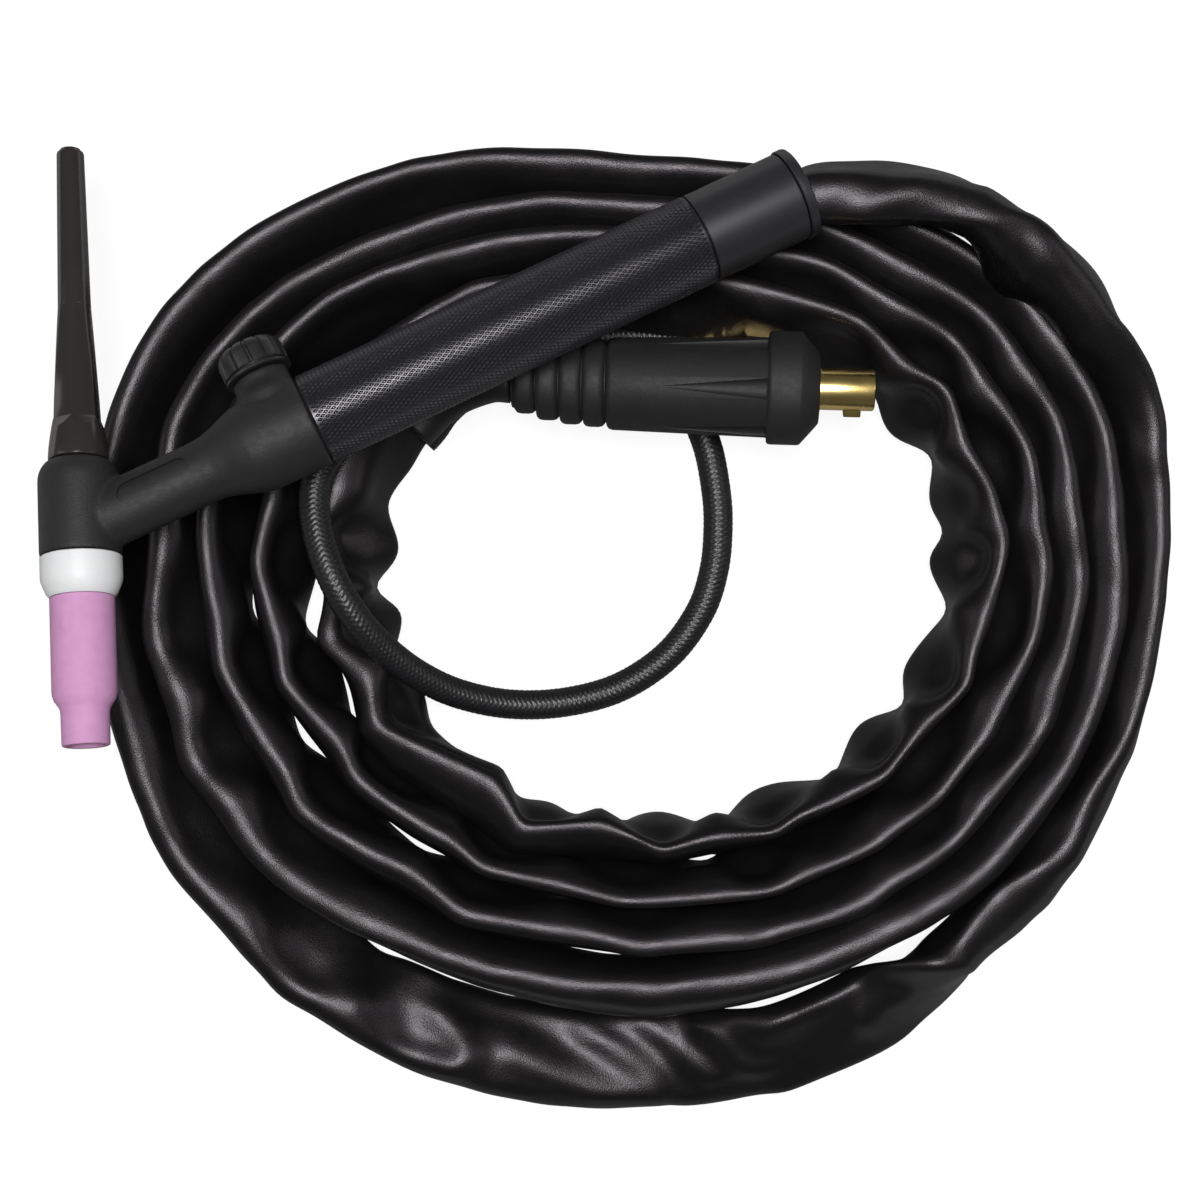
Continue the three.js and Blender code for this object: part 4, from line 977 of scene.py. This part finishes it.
plug_outline += [
    (start + 0.25, 13.3), (start + 0.8, 14.1), (start + 2, 14.5), (grip_end - 0.4, 15.6), (grip_end, 15.9),
    (grip_end, 17.0), (80.4, 17.5), (81.2, 17.7), (89.6, 17.7), (90.4, 17.45), (plug_length - 2.4, 13.4),
    (plug_length - 1.2, 12.0), (plug_length - 0.3, 10.8), (plug_length - 0.3, pin_bore), (58, pin_bore),
    (58, cable_bore), (0, cable_bore),
]
plug = turned("plug_grip", plug_outline, 128)

recesses = 6
recess_start = 46.5
recess_radius = 3.4
recess_flatness = 0.62
first_recess = 8
for number in range(recesses):
    bpy.ops.object.select_all(action="DESELECT")
    bpy.ops.mesh.primitive_cone_add(vertices=40, radius1=recess_radius * MM, radius2=0.05 * MM,
                                    depth=(grip_end - recess_start) * MM)
    wedge = moved(bpy.context.object, Matrix.Diagonal((recess_flatness, 1, 1, 1)) @ rotation(180, "X"))
    place = rotation(360 / recesses * number + first_recess, "Z") @ shift(-15.35, 0, 62.9)
    joined_with(plug, moved(wedge, place @ rotation(-1.9, "Y")), "DIFFERENCE")
finished(plug, along_plug, body_rubber, smooth=38)
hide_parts("plug_body")

# ---------------------------------------------------------------- plug pin
# A turned brass bayonet pin with its locking lug. The cable's core, in a crimped copper ferrule, is
# held in its hollow rear by a screw, and the rubber grip is pushed over it.

pin_tip = plug_length + 16.9
pin = turned("bayonet_pin", [
    (60, 4.5), (60, 7.5), (plug_length, 7.5), (plug_length, 6.5), (pin_tip - 0.7, 6.5), (pin_tip - 0.25, 6.3),
    (pin_tip, 5.8), (pin_tip, 0.5),
])
joined_with(pin, turned("crimp_room", [(59, 4.5), (80, 4.5)], 48), "DIFFERENCE")
bpy.ops.object.select_all(action="DESELECT")
bpy.ops.mesh.primitive_cube_add(size=MM)
lug_size = Matrix.Diagonal((8.3, 4.8, 5.4, 1))
lug_place = rotation(115, "Z") @ shift(-4.15, 0, plug_length + 10.2)
lug = moved(bpy.context.object, lug_place @ lug_size)
rounded(lug, 0.35, 30)
joined_with(pin, lug, "UNION")
screw_room = turned("screw_room", [(0, 2.9), (16, 2.9)], 32)
joined_with(pin, moved(screw_room, shift(0, 0, 70) @ rotation(90, "X")), "DIFFERENCE")
pin_brass = Finish("polished_brass", (0.88, 0.66, 0.25), 0.26, 1.0)
pin_brass.mottle(pin_brass.noise(160, 3), (0.83, 0.6, 0.2), (0.93, 0.72, 0.3))
pin_brass.vary_roughness(pin_brass.noise(150, 2), 0.24, 0.28)
finished(pin, along_plug, pin_brass, smooth=30)
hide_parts("plug_pin")
dress_nodes(jacket, "plug_cable")
dress_nodes(copper, "plug_cable_ferrule")
dress_nodes(brass, "plug_screw")

# ---------------------------------------------------------------- hose end
# A brass ferrule crimped over the braid holds the hose on a barbed brass tail. A loose hexagon union
# nut turns on the tail's collar.

along_hose_end = from_coil_middle @ shift(14.2, 82.3, 7.2) @ rotation(-9.5, "Z") @ rotation(90, "Y")
crimp = turned("crimp_ferrule", [
    (0, 2.5), (0, 4.7), (0.3, 5), (2.2, 5), (2.8, 4.6), (5.4, 4.6), (6, 5), (8, 5), (8.6, 4.6), (11.2, 4.6),
    (11.8, 5), (16.1, 5), (16.4, 4.7), (16.4, 2.5), (0, 2.5),
], 72)
finished(crimp, along_hose_end, brass)
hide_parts("hose_ferrule")
dress_nodes(brass, "hose_tail")
nut_corners = to_corners(12)
nut = turned("union_nut_hexagon", [(16.9, nut_corners), (30, nut_corners)], 6)
moved(nut, rotation(30, "Z"))
joined_with(nut, turned("nut_chamfer", [(16.9, 5.9), (17.9, 7.1), (29, 7.1), (30, 5.9)]), "INTERSECT")
joined_with(nut, turned("nut_bore", [(16, 3), (19.5, 3), (19.5, 5), (31, 5)], 64), "DIFFERENCE")
rounded(nut, 0.12, 25)
finished(nut, along_hose_end, brass, "union_nut", 30)
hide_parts("hose_nut")

# ---------------------------------------------------------------- the two cords
# Two cords lie free: the sleeved cable, from the handle to the plug, and the braided hose, which
# leaves it at its open end and carries the union nut.

# ---------------------------------------------------------------- floor and light
# A wide sheet of pale paper lies under one large soft lamp, with two weaker ones at the sides. The
# paper shows evenly bright, and black pieces mirror it only where it lies well away from them.

bpy.ops.object.select_all(action="DESELECT")
bpy.ops.mesh.primitive_plane_add(size=4, location=(coil_middle.x, 0, 0))
floor = bpy.context.object
floor.name = "floor"
paper = Finish("pale_floor", (0.8, 0.8, 0.8), 0.9)
ray = paper.node("LightPath").outputs
far_off = paper.ranged(ray["Ray Length"], 0.05, 0.3)
mirrored = paper.node("Math", {0: ray["Is Glossy Ray"], 1: far_off}, operation="MULTIPLY")
seen = paper.node("Math", {0: ray["Is Camera Ray"], 1: mirrored.outputs[0]}, operation="MAXIMUM")
seen = paper.node("Math", {0: seen.outputs[0], 1: ray["Is Transmission Ray"]}, operation="MAXIMUM")
glow = paper.node("Emission", {"Color": (1, 1, 1, 1), "Strength": 0.9})
plain = paper.node("BsdfDiffuse", {"Color": (0.24, 0.24, 0.24, 1)})
faint = paper.node("BsdfDiffuse", {"Color": (0.12, 0.12, 0.12, 1)})
lit = paper.node("AddShader", {0: glow.outputs[0], 1: faint.outputs[0]})
both = paper.node("MixShader", {0: seen.outputs[0], 1: plain.outputs[0], 2: lit.outputs[0]})
output = paper.nodes["Material Output"]
paper.links.new(both.outputs[0], output.inputs["Surface"])
dress(floor, paper)

world = bpy.data.worlds.new("studio")
world.use_nodes = True
world.node_tree.nodes["Background"].inputs["Color"].default_value = (1, 1, 1, 1)
world.node_tree.nodes["Background"].inputs["Strength"].default_value = 0.08
bpy.context.scene.world = world


def softbox(name, place, size, power):
    """A rectangular soft lamp, aimed at the middle of the coil."""
    light = bpy.data.lights.new(name, "AREA")
    light.shape = "RECTANGLE"
    light.size, light.size_y = size
    light.energy = power
    made = bpy.data.objects.new(name, light)
    bpy.context.scene.collection.objects.link(made)
    made.location = Vector(place) + coil_middle
    made.rotation_euler = (-Vector(place)).to_track_quat("-Z", "Y").to_euler()


softbox("overhead", (0, 0.07, 1.2), (0.38, 0.38), 13.5)
softbox("left", (-1.1, 0.2, 0.8), (0.4, 0.8), 1.6)
softbox("right", (1.1, 0.2, 0.8), (0.4, 0.8), 1.6)

bpy.context.scene.view_settings.view_transform = "Standard"
